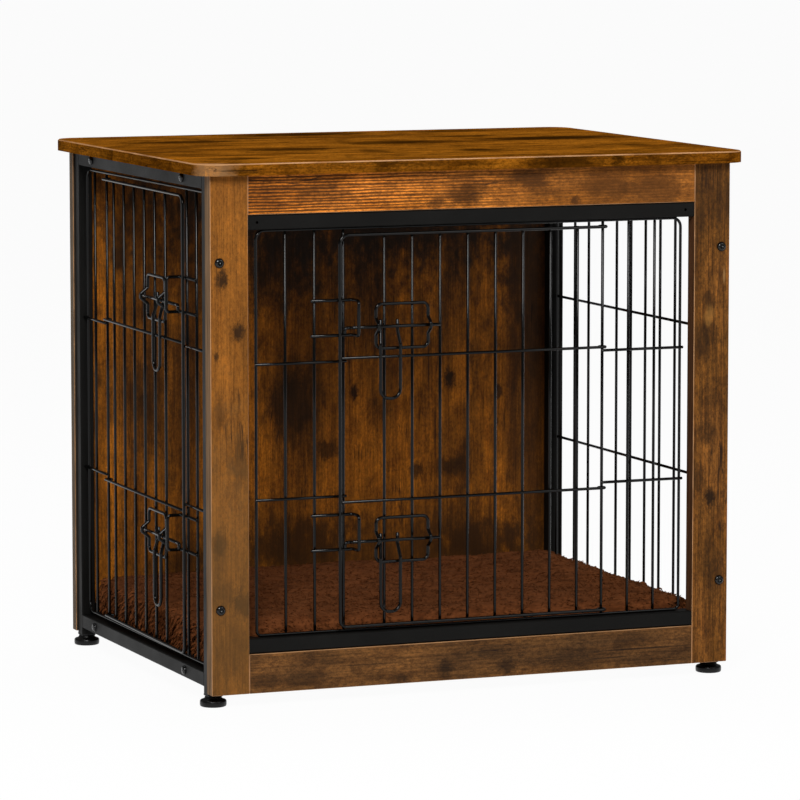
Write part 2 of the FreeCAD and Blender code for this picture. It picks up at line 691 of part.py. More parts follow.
for side, sign in SIDES.items():
    place = (signed(sign, STILE_X), "front_thick / 2", "wood_height / 2")
    inner = signed(sign, f"{OPENING_WIDTH} / 2")
    holes = [("y", (signed(sign, POST_X), "0 - 1", z), HOLE, "front_thick + 2") for z in BOLT_HEIGHTS]
    dowel_start = f"{inner} - 1" if sign > 0 else f"{inner} - dowel_length / 2 - 0.5"
    for z in dowel_heights():
        holes.append(("x", (dowel_start, DOWEL_Y, z), DOWEL_HOLE, "dowel_length / 2 + 1.5"))
    for z in BAR_HEIGHTS.values():
        screw_start = (signed(sign, TAB_SCREW_X), "front_thick - screw_bite - 0.5", z)
        holes.append(("y", screw_start, SCREW_HOLE, "screw_bite + 1.5"))
    stile = board(side + "_stile", "stile_width", "front_thick", "wood_height")
    sub_part(bored(stile, place, holes), side + "_stile", *place)

for level, z in RAIL_HEIGHTS.items():
    place = ("0", "front_thick / 2", z)
    rail = board(level + "_rail", OPENING_WIDTH, "front_thick", "rail_width")
    holes = []
    for sign in (-1, 1):
        end = signed(sign, f"{OPENING_WIDTH} / 2")
        start = f"{end} - dowel_length / 2 - 0.5" if sign > 0 else f"{end} - 1"
        for way in "+-":
            height = f"{z} {way} dowel_spread / 2"
            holes.append(("x", (start, DOWEL_Y, height), DOWEL_HOLE, "dowel_length / 2 + 1.5"))
    sub_part(bored(rail, place, holes), level + "_rail", *place)

back_place = ("0", "cabinet_depth - back_thick / 2", "wood_height / 2")
back_holes = [
    ("y", (signed(sign, POST_X), "cabinet_depth - back_thick - 1", z), HOLE, "back_thick + 2")
    for sign in (-1, 1)
    for z in BOLT_HEIGHTS
]
back = board("back_panel", "cabinet_width", "back_thick", "wood_height")
sub_part(bored(back, back_place, back_holes), "back_panel", *back_place)

floor = board(
    "floor_board",
    f"{CROSS_BAR_LENGTH} - 2 * floor_gap",
    "cabinet_depth - back_thick - front_thick - 2 * floor_gap",
    "floor_thick",
)
FLOOR_Y = "( cabinet_depth - back_thick + front_thick ) / 2"
sub_part(floor, "floor_board", "0", FLOOR_Y, f"{FLOOR_BOTTOM} + floor_thick / 2")

mat = new_body("mat")
MAT_DEPTH = "( cabinet_depth - back_thick - mat_front - mat_back )"
mat_sketch = sketch_on(mat, "XY_Plane")
rectangle(mat_sketch, "cabinet_width - 2 * mat_side", MAT_DEPTH)
pad_both_ways(mat, mat_sketch, "mat_thick")
dress(mat, "Chamfer", lambda edge: along(edge, Vector(0, 0, 1)), "Size", "mat_corner")
dress(mat, "Chamfer", lambda edge: edge.BoundBox.ZMin > mm("mat_thick / 2") - 1e-3, "Size", "mat_edge")
MAT_Z = f"{FLOOR_BOTTOM} + floor_thick + mat_lift + mat_thick / 2"
sub_part(mat, "mat", "0", f"mat_front + {MAT_DEPTH} / 2", MAT_Z)

# ---------------------------------------------------------------- tubes
WALL_HOLE = "tube_wall + 2"
POST_MIDDLE = "( wood_height - post_drop ) / 2"
for side, sign in SIDES.items():
    for end, y in (("front", FRONT_POST_Y), ("back", BACK_POST_Y)):
        place = (signed(sign, POST_X), y, POST_MIDDLE)
        start = f"{y} - tube_side / 2 - 1" if end == "front" else f"{y} + tube_side / 2 - tube_wall - 1"
        holes = [("y", (signed(sign, POST_X), start, z), HOLE, WALL_HOLE) for z in BOLT_HEIGHTS]
        name = f"{side}_{end}_post"
        post = tube(name, "z", "wood_height + post_drop")
        sub_part(bored(post, place, holes), name, *place)

    for level, z in (("top", TOP_TUBE_Z), ("bottom", BOTTOM_TUBE_Z)):
        place = (signed(sign, POST_X), f"front_thick + tube_side + {SIDE_TUBE_LENGTH} / 2", z)
        holes = [
            ("x", (centred(sign, POST_X, "tube_side + 2"), y, z), SCREW_HOLE, "tube_side + 2")
            for y in ("cross_bar_front", CROSS_BAR_BACK)
        ]
        name = f"{side}_{level}_tube"
        sub_part(bored(tube(name, "y", SIDE_TUBE_LENGTH), place, holes), name, *place)

for level, z in BAR_HEIGHTS.items():
    place = ("0", BAR_Y, z)
    name = f"front_{level}_bar"
    pieces = [tube(name, "x", BAR_LENGTH)]
    holes = []
    for sign in (-1, 1):
        low_end = (
            f"{OPENING_WIDTH} / 2 - tab_lap" if sign > 0 else f"0 - {OPENING_WIDTH} / 2 - tab_reach"
        )
        tab_start = (low_end, "tube_side / 2", "0 - tube_side / 2")
        tab_size = ("tab_lap + tab_reach", "tab_thick", "tube_side")
        pieces.append(block(f"{name}_tab_{len(pieces)}", tab_start, tab_size))
        holes.append(("y", (signed(sign, TAB_SCREW_X), "front_thick - 1", z), SCREW_HOLE, "tab_thick + 2"))
        if level == "top":
            vent_x = signed(sign, f"{OPENING_WIDTH} / 2 - vent_inset")
            vent = ("y", (vent_x, "bar_recess - 1", z), "vent_radius", WALL_HOLE)
            holes.append(vent)
    sub_part(bored(fused(name + "_tabbed", pieces), place, holes), name, *place)

bars = []
for level, z in (("roof", TOP_TUBE_Z), ("floor", BOTTOM_TUBE_Z)):
    for row, y in (("front", "cross_bar_front"), ("back", CROSS_BAR_BACK)):
        bar = tube(f"cross_bar_{level}_{row}", "x", CROSS_BAR_LENGTH)
        if level == "roof":
            under = f"{z} - tube_side / 2 - 1"
            holes = [
                ("z", (signed(sign, "top_screw_x"), y, under), SCREW_HOLE, "tube_side + 2")
                for sign in (-1, 1)
            ]
            bar = bored(bar, ("0", y, z), holes)
        bind(bar, {"Placement.Base.x": "0", "Placement.Base.y": y, "Placement.Base.z": z})
        bars.append(bar)
sub_part(group_of("cross_bars", bars), "cross_bars")

# ---------------------------------------------------------------- wire walls
for wall in (FRONT_WALL, LEFT_WALL, RIGHT_WALL):
    wall.border(wall.name + "_panel_frame")


def spread(first, last, count):
    """Uprights evenly between two wires, without those two."""
    return [f"{first} + ( {last} - ( {first} ) ) * {i} / {count + 1}" for i in range(1, count + 1)]


def spaced(first, pitch, count):
    return [f"{first} + {i} * {pitch}" for i in range(count)]


FRONT_HEIGHTS = ("front_wire_upper", "front_wire_lower")
FRONT_WALL.grille(
    "front_panel_left_wires",
    ["front_opening", *spread("front_opening", FRONT_WALL.front_edge, FIXED_UPRIGHTS)],
    [("front_opening - wire_end", f"{FRONT_WALL.front_edge} + wire_end", z) for z in FRONT_HEIGHTS],
)
FRONT_WALL.grille(
    "front_panel_right_wires",
    ["0", *spread("0", FRONT_WALL.back_edge, FIXED_UPRIGHTS)],
    [(f"{FRONT_WALL.back_edge} - wire_end", "wire_end", z) for z in FRONT_HEIGHTS],
)
LEFT_HEIGHTS = ("left_wire_upper", "left_wire_lower")
LEFT_WALL.grille(
    "left_panel_front_wires",
    [LEFT_OPENING, f"{LEFT_OPENING} + left_upright_front"],
    [(f"{LEFT_OPENING} - wire_end", f"{LEFT_HINGE_Y} - ( {SIDE_FRONT} )", z) for z in LEFT_HEIGHTS],
)
LEFT_WALL.grille(
    "left_panel_back_wires",
    ["0", "0 - left_upright_back"],
    [(f"{LEFT_HINGE_Y} - ( {SIDE_BACK} )", "wire_end", z) for z in LEFT_HEIGHTS],
)
RIGHT_SPAN = f"( {RIGHT_WALL.front_edge} - ( {RIGHT_WALL.back_edge} ) - right_first - right_last )"
RIGHT_WALL.grille(
    "right_panel_wires",
    spaced(f"{RIGHT_WALL.back_edge} + right_first", f"{RIGHT_SPAN} / {RIGHT_UPRIGHTS - 1}", RIGHT_UPRIGHTS),
    [("0", f"{SIDE_BACK} - ( {SIDE_FRONT} )", z) for z in ("right_wire_upper", "right_wire_lower")],
)
door(
    FRONT_WALL, "front_door", "front_opening + door_lap",
    spaced("front_door_first", "front_door_pitch", FRONT_DOOR_UPRIGHTS),
    ("front_door_upper", "front_door_lower"),
)
door(
    LEFT_WALL, "left_door", f"{LEFT_OPENING} + door_lap",
    spaced("left_door_first", "left_door_pitch", LEFT_DOOR_UPRIGHTS),
    ("left_door_upper", "left_door_lower"),
)
for height in ("upper", "lower"):
    latch(FRONT_WALL, f"front_{height}", "front_opening", "front_guide_inset", f"front_latch_{height}")
    latch(LEFT_WALL, f"left_{height}", LEFT_OPENING, "left_guide_inset", f"left_latch_{height}")

# ---------------------------------------------------------------- feet
FOOT_TIERS = [
    # radius, bottom, height
    ("foot_radius", "0", "foot_disc"),
    ("( foot_radius + foot_hub_radius ) / 2", "foot_disc", "( foot_hub - foot_disc ) / 2"),
    ("foot_hub_radius", "( foot_disc + foot_hub ) / 2", "( foot_hub - foot_disc ) / 2"),
    ("stem_radius", "foot_hub", "stem_length"),
]


FEET = {
    f"{end}_{side}": (signed(sign, POST_X), y)
    for side, sign in SIDES.items()
    for end, y in (("front", FRONT_POST_Y), ("back", BACK_POST_Y))
}
for corner, (x, y) in FEET.items():
    tiers = [
        pin(f"{corner}_tier_{i}", "z", ("0", "0", bottom), radius, height, ROUND_SIDES)
        for i, (radius, bottom, height) in enumerate(FOOT_TIERS)
    ]
    foot = fused(corner + "_foot_solid", tiers)
    sub_part(foot, corner + "_foot", x, f"{y} + {CABINET_Y}", "0", cabinet=False)

insert_plug = block(
    "insert_plug",
    ("0 - plug_side / 2", "0 - plug_side / 2", "0"),
    ("plug_side", "plug_side", "plug_length"),
)
insert_flange = block(
    "insert_flange",
    ("0 - tube_side / 2", "0 - tube_side / 2", "0 - flange_thick"),
    ("tube_side", "tube_side", "flange_thick"),
)
insert = doc.addObject("Part::Cut", "foot_insert")
insert.Base = fused("insert_solid", [insert_plug, insert_flange])
bore_start = ("0", "0", "0 - flange_thick - 1")
bore_length = "plug_length + flange_thick + 2"
bore_corner = f"( stem_radius + fit_gap ) / {math.cos(math.pi / ROUND_SIDES):.6f}"
insert.Tool = pin("insert_bore", "z", bore_start, bore_corner, bore_length, ROUND_SIDES)
doc.recompute()
insert_places = [(x, y, POST_BOTTOM, Rotation()) for x, y in FEET.values()]
sub_part(copies("foot_insert_set", insert, insert_places), "foot_inserts")

# ---------------------------------------------------------------- bolts, screws and dowels
INWARD = {"y": Rotation(Vector(1, 0, 0), -90), "-y": Rotation(Vector(1, 0, 0), 90)}
SIDEWAYS = {1: Rotation(Vector(0, 1, 0), -90), -1: Rotation(Vector(0, 1, 0), 90)}


def headed(name, head_radius, head, radius, length):
    """A fastener whose shank goes up from the underside of its head at the origin."""
    origin = ("0", "0", "0")
    return fused(
        name,
        [
            pin(name + "_head", "z", ("0", "0", f"0 - {head}"), head_radius, head, ROUND_SIDES),
            pin(name + "_shank", "z", origin, radius, length),
        ],
    )


panel_bolt = doc.addObject("Part::Cut", "panel_bolt")
panel_bolt.Base = headed("bolt_solid", "bolt_head_radius", "bolt_head", "bolt_radius", "bolt_length")
socket_start = ("0", "0", "0 - bolt_head - 1")
socket_corner = f"bolt_socket / 2 / {math.cos(math.pi / 6):.6f}"
panel_bolt.Tool = pin("bolt_socket_cut", "z", socket_start, socket_corner, "1 + bolt_head * 0.7", 6)
nut = doc.addObject("Part::Cut", "weld_nut")
nut.Base = pin("weld_nut_solid", "z", ("0", "0", "0"), "nut_radius", "nut_thick", 6)
nut.Tool = pin("weld_nut_bore", "z", ("0", "0", "0 - 1"), "bolt_radius + fit_gap", "nut_thick + 2")
SCREW = ("screw_head_radius", "screw_head", "screw_radius")
long_screw = headed("long_screw", *SCREW, "tube_side + screw_bite")
tab_screw = headed("tab_screw_solid", *SCREW, "tab_thick + screw_bite")
bar_plug = doc.addObject("Part::Cut", "bar_plug")
bar_plug.Base = block(
    "bar_plug_solid",
    ("0 - plug_side / 2", "0 - plug_side / 2", "0"),
    ("plug_side", "plug_side", "plug_length"),
)
bar_plug.Tool = pin("bar_plug_bore", "z", ("0", "0", "0 - 1"), SCREW_HOLE, "screw_bite + 2")
dowel = pin("dowel", "x", ("0 - dowel_length / 2", "0", "0"), "dowel_radius", "dowel_length")
doc.recompute()

bolt_places = []
nut_places = []
for sign in (-1, 1):
    for z in BOLT_HEIGHTS:
        x = signed(sign, POST_X)
        bolt_places.append((x, "0", z, INWARD["y"]))
        bolt_places.append((x, "cabinet_depth", z, INWARD["-y"]))
        nut_places.append((x, "front_thick + tube_wall", z, INWARD["y"]))
        nut_places.append((x, "cabinet_depth - back_thick - tube_wall", z, INWARD["-y"]))
sub_part(copies("panel_bolt_set", panel_bolt, bolt_places), "panel_bolts")
sub_part(copies("weld_nut_set", nut, nut_places), "weld_nuts")

screw_places = []
plug_places = []
for sign in (-1, 1):
    for y in ("cross_bar_front", CROSS_BAR_BACK):
        for z in (TOP_TUBE_Z, BOTTOM_TUBE_Z):
            outside = signed(sign, f"{POST_X} + tube_side / 2")
            bar_end = signed(sign, f"{CROSS_BAR_LENGTH} / 2")
            screw_places.append((outside, y, z, SIDEWAYS[sign]))
            plug_places.append((bar_end, y, z, SIDEWAYS[sign]))
sub_part(copies("frame_screw_set", long_screw, screw_places), "frame_screws")
sub_part(copies("plug_set", bar_plug, plug_places), "cross_bar_plugs")

top_screw_places = [
    (signed(sign, "top_screw_x"), y, "wood_height - tube_side", Rotation())
    for sign in (-1, 1)
    for y in ("cross_bar_front", CROSS_BAR_BACK)
]
sub_part(copies("top_screw_set", long_screw, top_screw_places), "top_screws")
tab_screw_places = [
    (signed(sign, TAB_SCREW_X), "front_thick + tab_thick", z, INWARD["-y"])
    for sign in (-1, 1)
    for z in BAR_HEIGHTS.values()
]
sub_part(copies("tab_screw_set", tab_screw, tab_screw_places), "tab_screws")
dowel_places = [
    (signed(sign, f"{OPENING_WIDTH} / 2"), DOWEL_Y, z, Rotation())
    for sign in (-1, 1)
    for z in dowel_heights()
]
sub_part(copies("dowel_set", dowel, dowel_places), "rail_dowels")

# ---------------------------------------------------------------- checks and files
doc.recompute()
for item in doc.Objects:
    if "Invalid" in item.State or "Error" in item.State:
        raise ValueError(f"{item.Label} failed: {item.State}")
for item in SUB_PARTS:
    if item.Shape.isNull() or not item.Shape.isValid():
        raise ValueError(f"{item.Label} has no valid shape")
os.makedirs("parts", exist_ok=True)
for item in SUB_PARTS:
    item.Shape.exportStep(f"parts/{item.Label}.step")
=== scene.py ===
import math
import random

import bmesh
import bpy
from mathutils import Matrix, Vector, noise


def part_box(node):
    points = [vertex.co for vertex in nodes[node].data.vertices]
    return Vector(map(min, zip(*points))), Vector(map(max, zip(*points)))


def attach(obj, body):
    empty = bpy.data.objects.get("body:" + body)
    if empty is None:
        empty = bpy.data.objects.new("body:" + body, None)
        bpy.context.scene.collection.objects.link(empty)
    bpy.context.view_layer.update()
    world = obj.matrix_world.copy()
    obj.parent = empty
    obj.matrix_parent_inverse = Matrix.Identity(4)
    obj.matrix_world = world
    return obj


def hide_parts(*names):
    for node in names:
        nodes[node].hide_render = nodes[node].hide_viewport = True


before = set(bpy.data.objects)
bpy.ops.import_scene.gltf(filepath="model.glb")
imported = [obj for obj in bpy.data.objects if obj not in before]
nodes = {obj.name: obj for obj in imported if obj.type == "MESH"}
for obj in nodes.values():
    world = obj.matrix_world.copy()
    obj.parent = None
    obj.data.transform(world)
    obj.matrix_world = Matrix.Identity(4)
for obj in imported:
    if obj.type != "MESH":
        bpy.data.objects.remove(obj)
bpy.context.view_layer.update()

# The frame is in metres. Wires, bolts and screws are placed in millimetres from the cabinet's zero.
CABINET = Vector((0, -0.226, 0.014))  # the cabinet's zero in the part: middle, front face, bottom of the wood
MM = 0.001

# ---- node helpers
# The Mix node's sockets have the same names for numbers, vectors and colours, so they go by place.
FACTOR, VECTOR_A, VECTOR_B, COLOUR_A, COLOUR_B = 0, 4, 5, 6, 7
VECTOR_OUT, COLOUR_OUT = 1, 2


def new_material(name):
    material = bpy.data.materials.new(name)
    material.use_nodes = True
    tree = material.node_tree
    tree.nodes.clear()
    output = tree.nodes.new("ShaderNodeOutputMaterial")
    shader = tree.nodes.new("ShaderNodeBsdfPrincipled")
    tree.links.new(shader.outputs[0], output.inputs[0])
    return material, tree, shader


def node(tree, kind, inputs=None, **settings):
    """A node of a kind, with its settings, and its inputs set to a value or linked from a socket."""
    item = tree.nodes.new("ShaderNode" + kind)
    for key, value in settings.items():
        setattr(item, key, value)
    for key, value in (inputs or {}).items():
        socket = item.inputs[key]
        if isinstance(value, bpy.types.NodeSocket):
            tree.links.new(value, socket)
        else:
            socket.default_value = value
    return item


def calc(tree, operation, *values):
    return node(tree, "Math", dict(enumerate(values)), operation=operation).outputs[0]


def ramp(tree, fac, stops):
    """A pattern mapped to colours, or to greys that are given as one number."""
    item = node(tree, "ValToRGB", {"Fac": fac})
    while len(item.color_ramp.elements) < len(stops):
        item.color_ramp.elements.new(0.5)
    for element, (position, colour) in zip(item.color_ramp.elements, stops):
        element.position = position
        element.color = (*colour, 1) if isinstance(colour, tuple) else (colour, colour, colour, 1)
    return item.outputs["Color"]


def mixed(tree, fac, a, b, kind="MIX"):
    """Colour b mixed into colour a. Each of the three is a value or a socket."""
    a, b = ((*c, 1) if isinstance(c, tuple) else c for c in (a, b))
    inputs = {FACTOR: fac, COLOUR_A: a, COLOUR_B: b}
    return node(tree, "Mix", inputs, data_type="RGBA", blend_type=kind).outputs[COLOUR_OUT]


def placed(tree, grain, shift):
    """Object coordinates with the grain, which lies along an axis of the part, turned to run along X."""
    coords = node(tree, "TexCoord").outputs["Object"]
    turns = {"x": (0, 0, 0), "z": (0, math.pi / 2, 0), "y": (0, 0, math.pi / 2)}[grain]
    turned_coords = node(tree, "Mapping", {"Vector": coords, "Rotation": turns}).outputs[0]
    return node(tree, "Mapping", {"Vector": turned_coords, "Location": shift}).outputs[0]


def stretched(tree, coords, scale):
    return node(tree, "Mapping", {"Vector": coords, "Scale": scale}).outputs[0]


def fractal(tree, coords, scale, detail, rough=0.55, warp=0.0):
    inputs = {"Vector": coords, "Scale": scale, "Detail": detail, "Roughness": rough, "Distortion": warp}
    return node(tree, "TexNoise", inputs).outputs["Fac"]


def streaks(tree, at, along, across, scale, detail, rough=0.55, warp=0.0):
    """Noise drawn out along the grain, because it changes more often across it."""
    return fractal(tree, stretched(tree, at, (along, across, across)), scale, detail, rough, warp)


def tone_of(red, green, blue):
    """A colour chosen on a scale of 0 to 255, as the linear values a shader takes."""
    return tuple(
        ((c / 255 + 0.055) / 1.055) ** 2.4 if c > 10 else c / 255 / 12.92 for c in (red, green, blue)
    )


def share_of(colour, share):
    return tuple(share * c for c in colour)


def surface(tree, shader, tone, height, strength, distance):
    tree.links.new(tone, shader.inputs["Base Color"])
    bump = node(tree, "Bump", {"Height": height, "Strength": strength, "Distance": distance})
    tree.links.new(bump.outputs[0], shader.inputs["Normal"])


# ---- wood
# the pale of the bevels: worn edges, with a painted highlight along them
PALE_EDGE = tone_of(176, 132, 92)
DARK_END_STRIP = tone_of(46, 38, 30)
INK = tone_of(22, 13, 7)
MARK_GROWTH = 1.15  # a mark's soft ellipse is this much larger than the mark
SMALL_MARK = 17  # millimetres; a mark that reaches less far has a finer rim
WAVE_LENGTH = 0.314  # from band to band in the wave texture at scale 1

# A face is known by how far its normal points along an axis, from 0 to 1.
END_FACING, SIDE_FACING = 0.7, 0.9  # along X: the ends of the table top, and a board's own sides
PRINT_FACING, BACK_FACING = 0.3, 0.5  # along Y: a printed face, and a face turned to the back
FLAT_FACING = 0.93  # no further than this along any axis: a bevel
RISING_FACING = 0.2  # further than this along Z: not the upright edge of the table top

# What a board has unless it says otherwise. The first lines say how strongly each layer shows.
BOARD = {
    "bands": 0.8, "pores": 0.5, "saw": 0.25, "blotch": 0.6, "speckle": 0.75, "strips": 0, "clouds": 0.7,
    "cloud_scale": (6, 15), "specular": 0.12, "side_colour": None,
    "saw_fade": None,  # from where to where along X the saw lines grow faint
    "saw_pitch": None,  # from one saw line to the next, where they show one by one
    "plane": "xz",  # the axes that places on the board's face are counted along
    "marks": (),  # dark knots and smudges: across, up, reach across, reach up (in millimetres), strength
    "lights": (),  # patches of another tone, on the front: the same, and the tone; on the back board they are painted shade, and on the table top's corner a painted highlight
    "cracks": (),  # as marks
    "rim_from": None,  # how far from the middle the printed face turns dark, out to its ends
    "top_edge": False,  # a table top, with a strip glued round its edge
}
FAINT_SAW = 0.2
# The layers of the print, from the first: what the noise is like, and the tones that it is mapped to.
LAYERS = {
    # grain bands that wander
    "bands": ((1.5, 42, 2.4, 7, 0.66, 0.45), [
        (0.34, (0.36, 0.30, 0.24)), (0.50, (0.86, 0.84, 0.82)), (0.66, (1.22, 1.16, 1.05)),
    ]),
    "pores": ((18, 640, 1.0, 3, 0.6), [(0.36, (0.34, 0.30, 0.27)), (0.54, (1.08, 1.08, 1.06))]),
    # saw lines, a little pinkish where they catch the light
    "saw": ((14, 430, 1.0, 2, 0.6), [
        (0.38, (0.16, 0.14, 0.13)), (0.5, (0.50, 0.47, 0.42)), (0.60, (0.90, 0.79, 0.66)),
    ]),
    # blotchy pigment at the size of a finger
    "blotch": ((26, 44, 1.2, 6, 0.72, 0.5), [
        (0.36, (0.40, 0.35, 0.30)), (0.52, 1.0), (0.7, (1.28, 1.22, 1.1)),
    ]),
    # fine print
    "speckle": ((260, 520, 1.0, 3, 0.85), [
        (0.36, (0.40, 0.37, 0.34)), (0.50, 1.0), (0.64, (1.6, 1.55, 1.45)),
    ]),
    # strips of board side by side, each a little lighter or darker
    "strips": ((0.5, 16, 1.0, 2, 0.5, 0.1), [
        (0.40, (0.52, 0.50, 0.48)), (0.47, (0.95, 0.94, 0.92)), (0.55, (1.25, 1.22, 1.15)),
        (0.6, (0.85, 0.84, 0.82)),
    ]),
}


def spot_mask(tree, coords, centre, reach, edge_noise, plane):
    """A soft ellipse at a place on a board's face, its rim broken up by noise. The third axis is left out."""
    scale = [0, 0, 0]
    move = [0, 0, 0]
    for axis, c, r in zip(plane, centre, reach):
        scale["xyz".index(axis)] = 1 / (r * MM)
        move["xyz".index(axis)] = -(c * MM) / (r * MM)
    at = node(tree, "Mapping", {"Vector": coords, "Scale": scale, "Location": move}).outputs[0]
    far = node(tree, "VectorMath", {0: at}, operation="LENGTH").outputs["Value"]
    ragged = calc(tree, "ADD", far, edge_noise)
    limits = {"Value": ragged, "From Min": 0.35, "From Max": 1.15, "To Min": 1.0, "To Max": 0.0}
    return node(tree, "MapRange", limits, interpolation_type="SMOOTHSTEP").outputs[0]


def saw_lines(tree, at, sawn, pitch):
    """Saw lines that show one by one at a pitch, broken up along their length."""
    rate = WAVE_LENGTH / pitch
    inputs = {
        "Vector": stretched(tree, at, (0.06 * rate, rate, rate)), "Scale": 1.0, "Distortion": 4.5,
        "Detail": 4.0, "Detail Scale": 1.4, "Detail Roughness": 0.7,
    }
    waves = node(tree, "TexWave", inputs, wave_type="BANDS", bands_direction="Z").outputs["Fac"]
    waves = ramp(tree, waves, [(0.42, 0), (0.78, 1)])
    broken = calc(tree, "MULTIPLY_ADD", streaks(tree, at, 40, 260, 1.0, 3, 0.7), 2.8, -0.5)
    lines = calc(tree, "MULTIPLY", waves, broken)
    return mixed(tree, 0.8, sawn, calc(tree, "MULTIPLY_ADD", lines, 0.42, 0.34))


def board_print(tree, at, along_x, tones, look):
    """The print, layer on layer: its tone, and the pores and saw lines for the bump to follow."""
    light, middle, dark = tones
    # slow change of tone along and across the grain
    slow = streaks(tree, at, 2.6, 9, 1.6, 5, 0.62, 0.7)
    tone = ramp(tree, slow, [(0.30, dark), (0.45, middle), (0.60, light), (0.80, middle)])
    patterns = {}
    for layer, (noise_settings, stops) in LAYERS.items():
        pattern, amount, kind = streaks(tree, at, *noise_settings), look[layer], "MULTIPLY"
        if layer == "saw":
            kind = "OVERLAY"
            if look["saw_pitch"]:
                pattern = saw_lines(tree, at, pattern, look["saw_pitch"])
            if look["saw_fade"]:
                first, last = look["saw_fade"]
                limits = {"From Min": first, "From Max": last, "To Min": amount, "To Max": FAINT_SAW}
                amount = node(tree, "MapRange", {"Value": along_x, **limits}).outputs[0]
        patterns[layer] = pattern
        tone = mixed(tree, amount, tone, ramp(tree, pattern, stops), kind)
    # cloudy dark patches
    clouds = streaks(tree, at, *look["cloud_scale"], 1.4, 7, 0.70, 0.9)
    cloud = calc(tree, "MULTIPLY", ramp(tree, clouds, [(0.54, 0), (0.68, 1)]), look["clouds"])
    return mixed(tree, cloud, tone, share_of(dark, 0.30)), patterns["pores"], patterns["saw"]


def rim_noise(tree, at, along, across, detail, depth):
    pattern = streaks(tree, at, along, across, 1.0, detail, 0.75)
    return calc(tree, "MULTIPLY_ADD", pattern, depth, -depth / 2)


def board_marks(tree, tone, at, here, normal_y, dark, look):
    """Marks, patches and cracks, most of them in known places; some of the patches are painted shade and one
    is a painted highlight. Gives the tone and the cracks.
    """
    plane = look["plane"]
    rim = rim_noise(tree, at, 45, 80, 6, 1.8)
    fine_rim = rim_noise(tree, at, 120, 210, 4, 2.0)
    for x, y, reach_x, reach_y, strength in look["marks"]:
        edge = fine_rim if max(reach_x, reach_y) < SMALL_MARK else rim
        reach = (MARK_GROWTH * reach_x, MARK_GROWTH * reach_y)
        mask = spot_mask(tree, here, (x, y), reach, edge, plane)
        tone = mixed(tree, calc(tree, "MULTIPLY", mask, strength), tone, share_of(dark, 0.22))
    # painted shade and highlight patches stay on faces not turned to the back, so the back board's painted
    # shade is only on its inside
    front_only = calc(tree, "LESS_THAN", normal_y, BACK_FACING)
    for x, y, reach_x, reach_y, strength, colour in look["lights"]:
        mask = spot_mask(tree, here, (x, y), (reach_x, reach_y), rim, plane)
        mask = calc(tree, "MULTIPLY", mask, front_only)
        tone = mixed(tree, calc(tree, "MULTIPLY", mask, strength), tone, tone_of(*colour))
    # cracks: thin dark lines that wander along the grain
    line = streaks(tree, at, 5, 80, 1.0, 3, 0.5, 0.5)
    off_line = calc(tree, "ABSOLUTE", calc(tree, "SUBTRACT", line, 0.5))
    thin = ramp(tree, off_line, [(0.0, 1), (0.016, 0)])
    where = ramp(tree, streaks(tree, at, 7, 22, 1.7, 3), [(0.56, 0), (0.62, 1)])
    crack = calc(tree, "MULTIPLY", thin, where)
    for x, y, reach_x, reach_y, strength in look["cracks"]:
        edge = calc(tree, "MULTIPLY", rim, 0.3)
        mask = spot_mask(tree, here, (x, y), (reach_x, reach_y), edge, plane)
        crack = calc(tree, "MAXIMUM", crack, calc(tree, "MULTIPLY", mask, strength))
    return mixed(tree, calc(tree, "MULTIPLY", crack, 0.85), tone, INK), crack


def board_edges(tree, tone, at, along_x, facing, pores, look):
    """What a board's own edges look like: sawn sides, a dark rim, and bevels pale with wear and a painted
    highlight.
    """
    if look["side_colour"]:
        side = calc(tree, "GREATER_THAN", facing[0], SIDE_FACING)
        worn = ramp(tree, pores, [(0.34, (0.40, 0.38, 0.36)), (0.6, 1.15)])
        worn = mixed(tree, 0.8, tone_of(*look["side_colour"]), worn, "MULTIPLY")
        tone = mixed(tree, side, tone, worn)
    # the printed face darker in a strip out to its ends
    if look["rim_from"]:
        outer = calc(tree, "GREATER_THAN", calc(tree, "ABSOLUTE", along_x), look["rim_from"])
        printed = calc(tree, "GREATER_THAN", facing[1], PRINT_FACING)
        tone = mixed(tree, calc(tree, "MULTIPLY", outer, printed), tone, DARK_END_STRIP)
    if look["top_edge"]:
        sloped = calc(tree, "LESS_THAN", facing[2], FLAT_FACING)
        rising = calc(tree, "GREATER_THAN", facing[2], RISING_FACING)
        bevel = calc(tree, "MULTIPLY", sloped, rising)
    else:
        most = calc(tree, "MAXIMUM", facing[0], calc(tree, "MAXIMUM", facing[1], facing[2]))
        bevel = calc(tree, "LESS_THAN", most, FLAT_FACING)
    # the bevels pale in patches: partly wear, partly a painted highlight along the edges
    wear = ramp(tree, fractal(tree, at, 26, 3), [(0.35, 0.45), (0.6, 0.95)])
    return mixed(tree, calc(tree, "MULTIPLY", bevel, wear), tone, PALE_EDGE)


